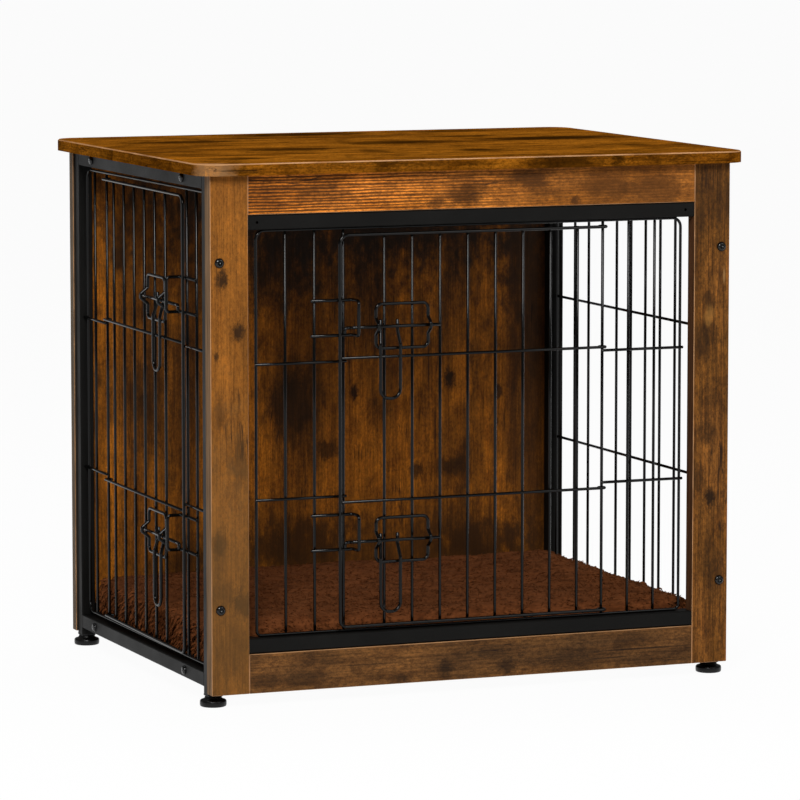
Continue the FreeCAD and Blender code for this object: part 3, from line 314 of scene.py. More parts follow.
def wood(name, grain, shift, light, middle, dark, **changes):
    """Printed rustic board: long grain, cloudy dark patches, knots, saw lines, cracks, pale edges with wear
    and a painted highlight, and patches of another tone, some of them painted shade.
    """
    look = {**BOARD, **changes}
    tones = [tone_of(*tone) for tone in (light, middle, dark)]
    material, tree, shader = new_material(name)
    here = node(tree, "TexCoord").outputs["Object"]
    along_x = node(tree, "SeparateXYZ", {"Vector": here}).outputs[0]
    normal = node(tree, "NewGeometry").outputs["Normal"]
    parts = node(tree, "SeparateXYZ", {"Vector": normal}).outputs
    facing = [calc(tree, "ABSOLUTE", parts[i]) for i in range(3)]
    at = placed(tree, grain, shift)
    if look["top_edge"]:  # the strip glued round the ends runs along them
        end = calc(tree, "GREATER_THAN", facing[0], END_FACING)
        strip = placed(tree, "y", (0.7, 0.2, 0.5))
        at = node(tree, "Mix", {FACTOR: end, VECTOR_A: at, VECTOR_B: strip}, data_type="VECTOR")
        at = at.outputs[VECTOR_OUT]
    tone, pores, sawn = board_print(tree, at, along_x, tones, look)
    tone, crack = board_marks(tree, tone, at, here, parts[1], tones[2], look)
    tone = board_edges(tree, tone, at, along_x, facing, pores, look)
    tree.links.new(ramp(tree, pores, [(0.3, 0.75), (0.7, 0.52)]), shader.inputs["Roughness"])
    shader.inputs["Specular IOR Level"].default_value = look["specular"]
    height = mixed(tree, 0.5, pores, sawn)
    height = mixed(tree, calc(tree, "MULTIPLY", crack, 0.8), height, (0, 0, 0))
    surface(tree, shader, tone, height, 0.3, 0.0006)
    return material


# places and reaches are in millimetres, and tones go from 0 to 255: light, middle and dark
wood_top = wood(
    "wood_top", "x", (0.13, 0.4, 0.2), (148, 92, 22), (118, 71, 14), (80, 47, 10),
    plane="xy", top_edge=True, cloud_scale=(8, 13), clouds=0.85, blotch=0.75, bands=0.6, saw=0.15, specular=0,
    marks=[
        (-130, -45, 55, 30, 0.85), (-229, -165, 35, 18, 0.8), (-30, 205, 90, 30, 0.9),
        (10, 30, 70, 30, 0.8), (200, 45, 80, 35, 0.9), (145, 200, 55, 20, 0.7), (48, -125, 28, 22, 0.8),
        (-185, 120, 60, 25, 0.8), (235, -105, 18, 22, 0.6), (-60, -100, 18, 40, 0.6),
        (90, -242, 45, 6, 0.8), (-262, -240, 20, 20, 0.6), (152, -242, 8, 4, 0.9), (120, 110, 50, 20, 0.6),
    ],
    # a painted highlight: the rounded front-left corner paler and greyer where it catches the light
    lights=[(-290, -236, 30, 22, 0.42, (160, 122, 84))],
)
wood_top_rail = wood(
    "wood_top_rail", "x", (1.31, 0.1, 0.9), (178, 112, 44), (148, 90, 27), (104, 60, 13),
    saw=0.95, saw_fade=(-0.12, 0.12), saw_pitch=0.0031, pores=0.4, clouds=0.4, bands=0.45, blotch=0.45,
    marks=[
        (-165, 517, 30, 13, 0.55), (-11, 511, 24, 16, 0.8), (-42, 503, 10, 8, 0.7), (56, 526, 30, 12, 0.85),
        (75, 512, 20, 14, 0.5), (143, 515, 28, 20, 0.6), (200, 508, 40, 20, 0.65), (110, 500, 6, 5, 0.9),
    ],
    lights=[(165, 516, 150, 60, 0.45, (82, 47, 15))],
)
wood_bottom_rail = wood(
    "wood_bottom_rail", "x", (2.2, 0.5, 0.3), (108, 72, 36), (88, 59, 30), (68, 46, 25),
    saw=0.12, pores=0.35, clouds=0.35, blotch=0.6, bands=0.5,
    marks=[
        (-228, 27, 20, 8, 0.5), (-188, 26, 27, 9, 0.5), (-161, 43, 18, 7, 0.4), (-82, 19, 12, 5, 0.6),
        (-32, 27, 8, 9, 0.8), (36, 25, 10, 10, 0.75), (18, 41, 16, 7, 0.45), (115, 28, 34, 10, 0.45),
        (180, 44, 20, 8, 0.4),
    ],
    cracks=[
        (185, 33.5, 62, 1.2, 0.95), (150, 26, 30, 0.9, 0.8), (-120, 36, 40, 0.8, 0.6),
    ],
)
wood_left_stile = wood(
    "wood_left_stile", "z", (0.35, 0.2, 1.7), (134, 83, 26), (114, 70, 20), (88, 54, 15),
    saw=0.12, pores=0.35, clouds=0.3, bands=0.3, blotch=0.35, speckle=0.45, side_colour=(128, 98, 68),
    marks=[
        (-273, 432, 6.5, 11, 0.95), (-255.5, 380, 8, 10, 0.95), (-279, 355, 3, 5, 0.8),
        (-254, 252, 11, 26, 0.55), (-277.5, 166, 9, 14, 0.65), (-250.5, 105, 13, 16, 0.7),
        (-270, 116, 16, 12, 0.45), (-262, 60, 14, 30, 0.4), (-276, 298, 7, 18, 0.45),
    ],
    lights=[(-265, 100, 100, 220, 0.38, (92, 70, 40))],
)
wood_right_stile = wood(
    "wood_right_stile", "z", (3.1, 0.7, 0.1), (122, 78, 31), (98, 62, 20), (72, 45, 15),
    saw=0.35, pores=0.5, clouds=0.45, bands=0.4, side_colour=(78, 50, 30),
    marks=[
        (264.5, 187, 7, 10, 0.95), (254.5, 350, 9, 22, 0.6), (260.5, 256, 10, 16, 0.6),
        (252, 208, 8, 16, 0.6), (262, 500, 30, 40, 0.45), (270, 110, 12, 24, 0.5), (261, 392, 9, 12, 0.7),
        (264, 360, 10, 14, 0.6),
    ],
    lights=[
        (262.5, 377, 6, 12, 0.35, (150, 108, 52)), (279, 420, 1.6, 10, 0.5, (170, 130, 80)),
    ],
)
wood_back = wood(
    "wood_back", "z", (0.9, 1.2, 0.4), (168, 102, 24), (128, 77, 16), (74, 44, 11),
    saw=0.2, pores=0.5, clouds=0.75, blotch=0.7, bands=0.6, strips=0.8, speckle=0.6, cloud_scale=(4, 10),
    side_colour=(104, 88, 70), rim_from=0.2826,
    marks=[
        (-50, 413, 45, 60, 0.75), (-33, 249, 35, 50, 0.85), (39, 260, 5, 11, 0.95), (153, 272, 8, 12, 0.95),
        (160, 174, 18, 14, 0.8), (113, 171, 10, 10, 0.8), (6, 198, 15, 13, 0.8), (244, 403, 30, 80, 0.7),
        (213, 255, 6, 10, 0.85), (-25, 95, 70, 30, 0.7), (190, 88, 60, 25, 0.7), (-234, 420, 12, 20, 0.7),
        (-200, 250, 20, 60, 0.5), (100, 440, 50, 30, 0.5), (-115, 330, 12, 30, 0.6),
    ],
    # painted shade on the inside face: darker at the top where the table top shades it, towards the bottom,
    # and along the right side
    lights=[
        (60, 515, 380, 180, 0.97, (25, 15, 7)), (80, 50, 300, 105, 0.75, (52, 29, 8)),
        (250, 250, 40, 300, 0.5, (52, 31, 12)),
    ],
    cracks=[
        (128, 290, 1.2, 45, 0.9), (136, 210, 1.2, 40, 0.9), (60, 360, 0.8, 60, 0.6),
        (40, 192, 0.7, 10, 0.9), (44, 192, 0.7, 12, 0.9), (48, 191, 0.7, 9, 0.9), (53, 192, 0.7, 12, 0.9),
        (58, 192, 0.7, 9, 0.9),
    ],
)
wood_floor = wood(
    "wood_floor", "x", (4.4, 0.1, 0.5), (52, 33, 20), (38, 25, 15), (24, 16, 10),
    clouds=0.4,
)


# ---- coated steel and plastic
def coated(name, colour, roughness, peel_scale, peel_strength, specular=0.5, metallic=0):
    """Powder-coated steel, zinc or plain plastic: fine orange peel, slight dust and wear in tone."""
    material, tree, shader = new_material(name)
    coords = node(tree, "TexCoord").outputs["Object"]
    dust = fractal(tree, coords, 14, 5, 0.6)
    peel = fractal(tree, coords, peel_scale, 3, 0.6)
    tone = ramp(tree, dust, [(0.3, share_of(colour, 0.8)), (0.55, colour), (0.8, share_of(colour, 1.5))])
    rough = ramp(tree, dust, [(0.3, roughness * 0.85), (0.75, min(1, roughness * 1.2))])
    tree.links.new(rough, shader.inputs["Roughness"])
    shader.inputs["Specular IOR Level"].default_value = specular
    shader.inputs["Metallic"].default_value = metallic
    surface(tree, shader, tone, peel, peel_strength, 0.0003)
    return material


tube_black = coated("tube_black", (0.0050, 0.0047, 0.0042), 0.46, 900, 0.30, 0.09)
wire_black = coated("wire_black", (0.0014, 0.0013, 0.0011), 0.14, 500, 0.05, 0.20)
bolt_black = coated("bolt_black", (0.0020, 0.0020, 0.0018), 0.16, 600, 0.08, 0.35)
foot_black = coated("foot_black", (0.0032, 0.0030, 0.0028), 0.34, 1200, 0.22, 0.25)
plug_black = coated("plug_black", (0.008, 0.008, 0.008), 0.6, 1200, 0.4, 0.25)
zinc = coated("zinc", (0.42, 0.42, 0.43), 0.35, 800, 0.2, metallic=1)
beech = coated("beech", (0.50, 0.33, 0.18), 0.6, 400, 0.3, 0.3)

CAD_LOOKS = {
    wood_top: ["table_top"],
    wood_top_rail: ["top_rail"],
    wood_bottom_rail: ["bottom_rail"],
    wood_left_stile: ["left_stile"],
    wood_right_stile: ["right_stile"],
    wood_back: ["back_panel"],
    wood_floor: ["floor_board"],
    tube_black: [name for name in nodes if name.endswith(("_post", "_tube", "_bar", "cross_bars"))],
    plug_black: ["foot_inserts", "cross_bar_plugs"],
    zinc: ["weld_nuts"],
    bolt_black: ["top_screws", "tab_screws"],
    beech: ["rail_dowels"],
}
for look, names in CAD_LOOKS.items():
    for name in names:
        mesh = nodes[name].data
        mesh.materials.clear()
        mesh.materials.append(look)


# ---- meshes
def mesh_piece(name, vertices, faces, material, body, replaced):
    mesh = bpy.data.meshes.new(name)
    mesh.from_pydata([tuple(v) for v in vertices], [], faces)
    mesh.materials.append(material)
    mesh.polygons.foreach_set("use_smooth", [True] * len(mesh.polygons))
    mesh.update()
    piece = bpy.data.objects.new(name, mesh)
    bpy.context.scene.collection.objects.link(piece)
    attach(piece, body)
    if replaced:
        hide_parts(*replaced)
    return piece


def circle(place, across, other, radius, sides):
    """Points of a circle round a place, in the plane of two directions."""
    for k in range(sides):
        a = 2 * math.pi * k / sides
        yield place + across * (radius * math.cos(a)) + other * (radius * math.sin(a))


def band(one, two):
    """Faces between two rings of as many points."""
    count = len(one)
    return [(one[k], one[(k + 1) % count], two[(k + 1) % count], two[k]) for k in range(count)]


# ---- wire
GRILLE_WIRE = 3.0 * MM
FRAME_WIRE = 3.4 * MM
WIRE_SIDES = 12
ARC_STEPS = 6  # to a right angle
LONGEST_BEND = 0.48  # a bend takes at most this share of the shorter straight beside it
STRAIGHT = 1e-3  # radians; a smaller turn isn't a bend
# a wire's end: how long its rounding is, where in it the last ring is, and how wide, in radii
TIP_LENGTH, TIP_RING, TIP_RADIUS = 0.35, 0.25, 0.72


def rounded(points, bend):
    """The line through points with each corner turned into an arc, of one radius or of one for each."""
    line = [points[0]]
    for i, (before, corner, after) in enumerate(zip(points, points[1:], points[2:])):
        run_in = (corner - before).normalized()
        run_out = (after - corner).normalized()
        angle = run_in.angle(run_out)
        radius = bend[i] if isinstance(bend, (list, tuple)) else bend
        limit = min((corner - before).length, (after - corner).length) * LONGEST_BEND
        if angle < STRAIGHT:
            continue
        reach = min(radius * math.tan(angle / 2), limit)
        radius = reach / math.tan(angle / 2)
        centre = corner + (run_out - run_in).normalized() * (radius / math.cos(angle / 2))
        spoke = corner - run_in * reach - centre
        axis = run_in.cross(run_out).normalized()
        count = max(2, round(ARC_STEPS * angle / (math.pi / 2)) + 1)
        for k in range(count + 1):
            line.append(centre + Matrix.Rotation(angle * k / count, 3, axis) @ spoke)
    line.append(points[-1])
    return line


def wire_mesh(line, radius, closed, vertices, faces):
    """Rings along a line, with rounded ends, added to lists of vertices and faces."""
    count = len(line)
    tangents = []
    for i in range(count):
        before = line[i - 1] if i or closed else line[0]
        after = line[(i + 1) % count] if i < count - 1 or closed else line[-1]
        tangents.append((after - before).normalized())
    normal = tangents[0].orthogonal().normalized()
    rings = []
    for i in range(count):
        if i:
            turn = tangents[i - 1].rotation_difference(tangents[i])
            normal = (turn @ normal).normalized()
        rings.append((line[i], tangents[i], normal.copy(), radius))
    if not closed:
        start, end = rings[0], rings[-1]
        dome = TIP_LENGTH * radius
        rings[0] = (start[0] + start[1] * dome, *start[1:])
        rings[-1] = (end[0] - end[1] * dome, *end[1:])
        rings.insert(0, (start[0] + start[1] * dome * TIP_RING, start[1], start[2], radius * TIP_RADIUS))
        rings.append((end[0] - end[1] * dome * TIP_RING, end[1], end[2], radius * TIP_RADIUS))
    loops = []
    for middle, tangent, across, r in rings:
        first = len(vertices)
        vertices.extend(circle(middle, across, tangent.cross(across), r, WIRE_SIDES))
        loops.append(list(range(first, first + WIRE_SIDES)))
    for one, two in zip(loops, loops[1:]):
        faces.extend(band(one, two))
    if closed:  # meet the first ring where the turning frame has drifted least
        one, two = loops[-1], loops[0]
        offset = min(range(WIRE_SIDES), key=lambda s: (vertices[one[0]] - vertices[two[s]]).length)
        faces.extend(band(one, two[offset:] + two[:offset]))
    else:
        faces.append(tuple(reversed(loops[0])))
        faces.append(tuple(loops[-1]))


TILT = 0.7  # degrees that a shut door stands open
SINK = 0.1  # how deep an upright's end goes into the border wire, in millimetres
CROSS_OUT = 2.9  # from the uprights out to the cross wires, in millimetres


class Wall:
    """A wire wall: its hinge wire's place, its direction in degrees, and which side of it is out.

    The low and the high are the middles of its grille's lowest and highest wire.
    """

    def __init__(self, x, y, turn, facing, low, high):
        self.base = Vector((x, y, 0))
        self.turn, self.facing = turn, facing
        self.low, self.high = low, high

    def point(self, u, out, z, tilted):
        """A place along the wall, out from it and up. What is on a shut door tilts with it."""
        angle = math.radians(self.turn + (self.facing * TILT if tilted else 0))
        local = Vector((u, self.facing * out, z))
        return (self.base + Matrix.Rotation(angle, 3, "Z") @ local) * MM + CABINET


FRONT = Wall(145.5, 10, 180, 1, 56.9, 465.1)
LEFT = Wall(-275, 354.7, -90, -1, 24.5, 502.5)
RIGHT = Wall(275, 425, -90, 1, 24.5, 502.5)


def wires(name, wall, runs, body, replaced, tilted=False):
    """One mesh of several wires. A run is (points on the wall, diameter, bend, closed)."""
    vertices, faces = [], []
    for points, diameter, bend, closed in runs:
        corners = [wall.point(*p, tilted) for p in points]
        bends = [b * MM for b in bend] if isinstance(bend, (list, tuple)) else bend * MM
        line = rounded(corners, bends)
        if closed:
            line = line[:-1]
        wire_mesh(line, diameter / 2, closed, vertices, faces)
    mesh_piece(name, vertices, faces, wire_black, body, replaced)


def upright(wall, u):
    reach = GRILLE_WIRE / MM / 2 - SINK
    return [(u, 0, wall.low + reach), (u, 0, wall.high - reach)], GRILLE_WIRE, 0, False


def cross(start, end, z):
    return [(start, CROSS_OUT, z), (end, CROSS_OUT, z)], GRILLE_WIRE, 0, False


def border(name, wall, back, front, bends=(12, 12, 12, 12)):
    middle, low, high = (back + front) / 2, wall.low, wall.high
    points = [(middle, 0, low), (back, 0, low), (back, 0, high)]
    points += [(front, 0, high), (front, 0, low), (middle, 0, low)]
    wires(name + "_wire", wall, [(points, GRILLE_WIRE, bends, True)], "root", [name])


# ---- fixed grilles
# the first upright beyond the free edge of each door
FRONT_OPENING, LEFT_OPENING = 285.5, 256.7
# up from the bottom of the wood to the cross wires
FRONT_HEIGHTS, LEFT_HEIGHTS, RIGHT_HEIGHTS = (331.2, 194.4), (343.3, 181.5), (347, 189)
FRONT_LEFT_WIDTH, FRONT_RIGHT_WIDTH = 93.5, 88
RIGHT_FIRST, RIGHT_PITCH, RIGHT_COUNT = 16.7, 37.2, 10


def grille(name, replaced, wall, start, end, heights, places):
    """Cross wires from start to end at heights, and uprights at places along a wall."""
    runs = [upright(wall, u) for u in places] + [cross(start, end, z) for z in heights]
    wires(name, wall, runs, "root", [replaced])


border("front_panel_frame", FRONT, -88, 379, (5, 9, 9, 5))
border("left_panel_frame", LEFT, -65.8, 319.2)
border("right_panel_frame", RIGHT, 4.5, 389.5)
places = [FRONT_OPENING + k * FRONT_LEFT_WIDTH / 3 for k in range(3)]
grille("front_left_group", "front_panel_left_wires", FRONT, 283, 381.5, FRONT_HEIGHTS, places)
places = [-k * FRONT_RIGHT_WIDTH / 3 for k in range(3)]
grille("front_right_group", "front_panel_right_wires", FRONT, -90.5, 2.5, FRONT_HEIGHTS, places)
places = [LEFT_OPENING, 285.7]
grille("left_front_group", "left_panel_front_wires", LEFT, 254.2, 323.7, LEFT_HEIGHTS, places)
grille("left_back_group", "left_panel_back_wires", LEFT, -70.3, 2.5, LEFT_HEIGHTS, [0, -39.9])
places = [RIGHT_FIRST + RIGHT_PITCH * k for k in range(RIGHT_COUNT)]
grille("right_group", "right_panel_wires", RIGHT, 0, 394, RIGHT_HEIGHTS, places)

# ---- doors
CURL_FROM, CURL_TO, CURL_STEPS = 90, 330, 14  # degrees round the hinge wire
CURL_BEND = 0.05  # the curls are round already
DOOR_BENDS = [9, 7]
BORDER_OUT, DOOR_CROSS_OUT, DOOR_UPRIGHT_OUT = 3.5, 3.3, 0.4  # from the hinge wire's middle
CROSS_INSET = 1.6  # from the middle of the door's free edge to the ends of its cross wires
UPRIGHT_OVERLAP = 1.7  # past the middle of the door's lowest and highest wire
DOOR_ABOVE, DOOR_BELOW = 4.5, 6.5  # inside the fixed grille's lowest and highest wire


def curl(reach, z):
    """A wire's end, wrapped round the hinge wire."""
    angles = [CURL_FROM + (CURL_TO - CURL_FROM) * k / CURL_STEPS for k in range(1, CURL_STEPS + 1)]
    return [(reach * math.cos(math.radians(a)), reach * math.sin(math.radians(a)), z) for a in angles]


def door(name, wall, edge, cross_heights, uprights):
    low, high = wall.low + DOOR_ABOVE, wall.high - DOOR_BELOW
    high_curl, low_curl = curl(BORDER_OUT, high), curl(BORDER_OUT, low)
    points = high_curl[::-1] + [(edge, BORDER_OUT, high), (edge, BORDER_OUT, low)] + low_curl
    curl_bends = [CURL_BEND] * (CURL_STEPS - 1)
    bends = curl_bends + DOOR_BENDS + curl_bends
    wires(name + "_border", wall, [(points, FRAME_WIRE, bends, False)], name, [name + "_frame"], True)
    runs = []
    for z in cross_heights:
        path = [(edge - CROSS_INSET, DOOR_CROSS_OUT, z)] + curl(DOOR_CROSS_OUT, z)
        runs.append((path, GRILLE_WIRE, CURL_BEND, False))
    for u in uprights:
        path = [(u, DOOR_UPRIGHT_OUT, low - UPRIGHT_OVERLAP), (u, DOOR_UPRIGHT_OUT, high + UPRIGHT_OVERLAP)]
        runs.append((path, GRILLE_WIRE, 0, False))
    wires(name + "_grille", wall, runs, name, [name + "_wires"], True)


door("front_door", FRONT, 291.7, (334.6, 188.5), [28.3 + 30.6 * k for k in range(8)])
door("left_door", LEFT, 262.9, (346.9, 175.5), [25.4 + 34.4 * k for k in range(6)])

# ---- latches
BAIL_BENDS = [4, 6, 9.5, 9.5, 6, 4]
GUIDE_BENDS = [6, 2.5, 1.4, 1.4, 2.5, 6] * 2
ROD_OUT = 7.6  # from the grille's middle
HOOK_REACH, HOOK_LENGTH, HOOK_DROP = 2.6, 8, 5.9
# the guide's half height and width, and from the rod up to the top and the foot of its kinks
GUIDE_HALF, GUIDE_WIDTH, KINK_HALF, KINK_FOOT = 22.5, 57, 2.2, 8.5


def latch(wall, name, door_body, opening, guide_inset, z):
    """A keeper on the fixed grille, and on the door a guide, a rod in it and the handle that turns it."""
    out, stand = 3.1, 19.3
    tail, front, top, foot = opening + 36, opening - 9.5, z + 27.5, z - 8
    keeper = [(tail, out, top), (front, out, top), (front, stand, top)]
    keeper += [(front, stand, foot), (front, out, foot), (tail, out, foot)]
    wires(name + "_keeper_wire", wall, [(keeper, FRAME_WIRE, 4, False)], "root", [name + "_keeper"])

    out, stand = 3.5, 11.2
    near, far = opening - guide_inset, opening - guide_inset - GUIDE_WIDTH
    middle, top, foot = (near + far) / 2, z + GUIDE_HALF, z - GUIDE_HALF
    kink = [(out, z + KINK_FOOT), (stand, z + KINK_HALF), (stand, z - KINK_HALF), (out, z - KINK_FOOT)]
    loop = [(middle, out, top), (near, out, top)] + [(near, *place) for place in kink]
    loop += [(near, out, foot), (far, out, foot)] + [(far, *place) for place in kink[::-1]]
    loop += [(far, out, top), (middle, out, top)]
    guide = [(loop, FRAME_WIRE, GUIDE_BENDS, True)]
    wires(name + "_guide_wire", wall, guide, door_body, [name + "_guide"], True)

    tip = opening + HOOK_REACH
    neck = tip - HOOK_LENGTH
    rod = [(far - 12, ROD_OUT, z), (neck, ROD_OUT, z)]
    wires(name + "_rod", wall, [(rod, FRAME_WIRE, 0, False)], name + "_bolt", [name + "_bolt"], True)

    # the handle: a hook at the rod's end, and a bail that hangs from two eyes behind the rod
    hook = [(neck, ROD_OUT, z), (tip, ROD_OUT, z), (tip, ROD_OUT, z - HOOK_DROP)]
    first, second = near - 4.7, near - 4.7 - 18.4
    low_first, low_second = first + 1.55, second - 1.55
    eye_out, bail_out = 4.15, 8.5
    eye_top, eye_foot, bail_top, bail_foot = z + 7, z - 3.5, z - 18, z - 73
    bail = [
        (first, eye_out, eye_top), (first, eye_out, eye_foot),
        (low_first, bail_out, bail_top), (low_first, bail_out, bail_foot),
        (low_second, bail_out, bail_foot), (low_second, bail_out, bail_top),
        (second, eye_out, eye_foot), (second, eye_out, eye_top),
    ]
    runs = [(hook, FRAME_WIRE, 4, False), (bail, FRAME_WIRE, BAIL_BENDS, False)]
    wires(name + "_bail", wall, runs, name + "_handle", [name + "_handle"], True)


FRONT_INSET, LEFT_INSET = 32.8, 50.9  # from the opening's upright to the guide
latch(FRONT, "front_upper", "front_door", FRONT_OPENING, FRONT_INSET, 365.6)
latch(FRONT, "front_lower", "front_door", FRONT_OPENING, FRONT_INSET, 148.2)
latch(LEFT, "left_upper", "left_door", LEFT_OPENING, LEFT_INSET, 385.4)
latch(LEFT, "left_lower", "left_door", LEFT_OPENING, LEFT_INSET, 142)


# ---- bolts, screws and feet
def turned(profile, place, up, vertices, faces, sides):
    """Adds a profile of (radius, height) turned about an axis. A radius of 0 closes the end."""
    across = up.orthogonal().normalized()
    other = up.cross(across)
    rings = []
    for radius, height in profile:
        here = len(vertices)
        if radius == 0:
            vertices.append(place + up * height)
            rings.append([here])
            continue
        vertices.extend(circle(place + up * height, across, other, radius, sides))
        rings.append(list(range(here, here + sides)))
    for one, two in zip(rings, rings[1:]):
        if len(one) == 1:
            faces.extend((one[0], two[(k + 1) % sides], two[k]) for k in range(sides))
        elif len(two) == 1:
            faces.extend((one[k], one[(k + 1) % sides], two[0]) for k in range(sides))
        else:
            faces.extend(band(one, two))


def profile_mm(*points):
    return [(r * MM, h * MM) for r, h in points]


BUTTON_HEAD = profile_mm(
    (0, -1), (4.6, -1), (4.95, 0), (5, 0.5), (4.8, 1.3), (4.2, 2.2), (3.3, 2.8), (2.5, 3), (2.32, 2.9),
)
BUTTON_SIDES = 36
SOCKET_HALF = 2.0  # from the axis to a flat of the hexagon, in millimetres
SOCKET_HEIGHTS = (2.6, 1.2)


def button_heads(name, places, body, replaced):
    """Button heads with a hexagon socket."""
    vertices, faces = [], []
    for place, up in places:
        turned(BUTTON_HEAD, place, up, vertices, faces, BUTTON_SIDES)
        across = up.orthogonal().normalized()
        other = up.cross(across)
        ring = list(range(len(vertices) - BUTTON_SIDES, len(vertices)))
        for height in SOCKET_HEIGHTS:
            below = []
            for k in range(BUTTON_SIDES):
                a = 2 * math.pi * k / BUTTON_SIDES
                r = SOCKET_HALF / math.cos(((a + math.pi / 6) % (math.pi / 3)) - math.pi / 6)
                below.append(len(vertices))
                spoke = across * math.cos(a) + other * math.sin(a)
                vertices.append(place + up * (height * MM) + spoke * (r * MM))
            faces.extend(band(ring, below))
            ring = below
        faces.append(tuple(ring))
    mesh_piece(name, vertices, faces, bolt_black, body, replaced)


# middle of the posts from the middle of the cabinet, and the back board's outer face from the front
POST_X, CABINET_DEPTH = 0.2755, 0.452
bolt_places = []
for sign in (-1, 1):
    for z in (86.5, 435):
        bolt_places.append((CABINET + Vector((sign * POST_X, 0, z * MM)), Vector((0, -1, 0))))
        bolt_places.append((CABINET + Vector((sign * POST_X, CABINET_DEPTH, z * MM)), Vector((0, 1, 0))))
button_heads("panel_bolt_heads", bolt_places, "root", ["panel_bolts"])

PAN_HEAD = profile_mm(
    (0, -1), (4.1, -1), (4.5, 0), (4.5, 0.6), (4.2, 1.5), (3.4, 2.1), (2.3, 2.4), (0, 2.4),
)
PAN_SIDES = 28
RECESS_LENGTH, RECESS_WIDTH = 2.1, 0.45  # half of each, in millimetres
RECESS_HEIGHTS = (2.0, 2.42)
OPEN_BOX = ((4, 5, 6, 7), (0, 1, 5, 4), (1, 2, 6, 5), (2, 3, 7, 6), (3, 0, 4, 7))


def pan_heads(name, places, body, replaced):
    """Pan heads with a cross in place of the recess: two bars that stand a hair above the head."""
    vertices, faces = [], []
    for place, up in places:
        turned(PAN_HEAD, place, up, vertices, faces, PAN_SIDES)
        across = Vector((0, 0, 1))
        other = up.cross(across)
        for one, two in ((across, other), (other, across)):
            base = len(vertices)
            for height in RECESS_HEIGHTS:
                for a, b in ((-1, -1), (1, -1), (1, 1), (-1, 1)):
                    along, aside = one * (a * RECESS_LENGTH * MM), two * (b * RECESS_WIDTH * MM)
                    vertices.append(place + up * (height * MM) + along + aside)
            faces += [tuple(base + i for i in face) for face in OPEN_BOX]
    mesh_piece(name, vertices, faces, bolt_black, body, replaced)


SCREW_X = 0.283  # the outer face of the side tubes
screw_places = []
for sign in (-1, 1):
    for y in (90, 382):
        for z in (514.5, 12.5):
            place = CABINET + Vector((sign * SCREW_X, y * MM, z * MM))
            screw_places.append((place, Vector((sign, 0, 0))))
pan_heads("frame_screw_heads", screw_places, "root", ["frame_screws"])

# feet: a thick disc with rounded edges, a cone up to the hub, and the threaded stem
THREAD = [(3.0 - 0.35 * (k % 2), 10.6 + 0.5 * k) for k in range(40)]
FOOT = profile_mm(
    (0, 0.6), (9.5, 0.6), (10.5, 0), (12.2, 0.1), (13.0, 0.5), (13.4, 1.4), (13.5, 2.6), (13.5, 4.8),
    (13.3, 5.8), (12.7, 6.6), (11.6, 7.1), (10.4, 7.4), (9.5, 7.9), (8.9, 8.6), (8.6, 9.3), (8.5, 10.0),
    (3.3, 10.0), (3.0, 10.3), *THREAD, (2.6, 30.9), (0, 31.2),
)
FOOT_SIDES = 40
for end, y in (("front", 23.5), ("back", 432.5)):
    for side, x in (("left", -POST_X), ("right", POST_X)):
        vertices, faces = [], []
        place = Vector((x, CABINET.y + y * MM, 0))
        turned(FOOT, place, Vector((0, 0, 1)), vertices, faces, FOOT_SIDES)
        foot = end + "_" + side + "_foot"
        mesh_piece(foot + "_shape", vertices, faces, foot_black, foot, [foot])


# ---- fleece mat
def fleece():
    material, tree, shader = new_material("fleece")
    coords = node(tree, "TexCoord").outputs["Object"]
    clumps = fractal(tree, coords, 60, 5, 0.7, 0.4)
    ripples = fractal(tree, stretched(tree, coords, (60, 220, 120)), 1.0, 3, 0.6, 0.6)
    hair = fractal(tree, stretched(tree, coords, (900, 500, 900)), 1.0, 3, 0.6)
    tone = ramp(tree, clumps, [
        (0.25, tone_of(54, 30, 16)), (0.45, tone_of(96, 54, 29)), (0.60, tone_of(113, 66, 37)),
        (0.8, tone_of(89, 51, 27)),
    ])
    ripple = ramp(tree, ripples, [(0.36, (0.55, 0.50, 0.46)), (0.56, (1.1, 1.08, 1.05))])
    tone = mixed(tree, 0.35, tone, ripple, "MULTIPLY")
    shade = ramp(tree, hair, [(0.3, (0.5, 0.45, 0.42)), (0.65, (1.25, 1.2, 1.15))])
    tone = mixed(tree, 0.35, tone, shade, "MULTIPLY")
    shader.inputs["Roughness"].default_value = 0.95
    shader.inputs["Specular IOR Level"].default_value = 0.0
    shader.inputs["Sheen Weight"].default_value = 0.12
    shader.inputs["Sheen Roughness"].default_value = 0.5
    shader.inputs["Sheen Tint"].default_value = (0.60, 0.26, 0.12, 1)
    surface(tree, shader, tone, mixed(tree, 0.5, clumps, hair), 0.5, 0.002)
    return material


PAD_INSET = Vector((0.003, 0.003, 0))  # the pad is this much inside the solid's box, and bulges out to it
PAD_COLUMNS, PAD_ROWS, PAD_LAYERS = 170, 126, 10
CORNER = 0.03
PINCH_REACH, PINCH_DEPTH, PINCH_POWER = 0.030, 0.34, 2.4  # how the top falls away to the hem
BULGE, BULGE_REACH = 0.006, 0.01
SETTLE = 0.0012  # the top sinks this much, so that its waves stay inside the solid
WELD = 1e-5
LUMP_RATE, LUMP_HEIGHT = 120, 0.0008
CURL_RATE, CURL_HEIGHT = 62, 0.0008


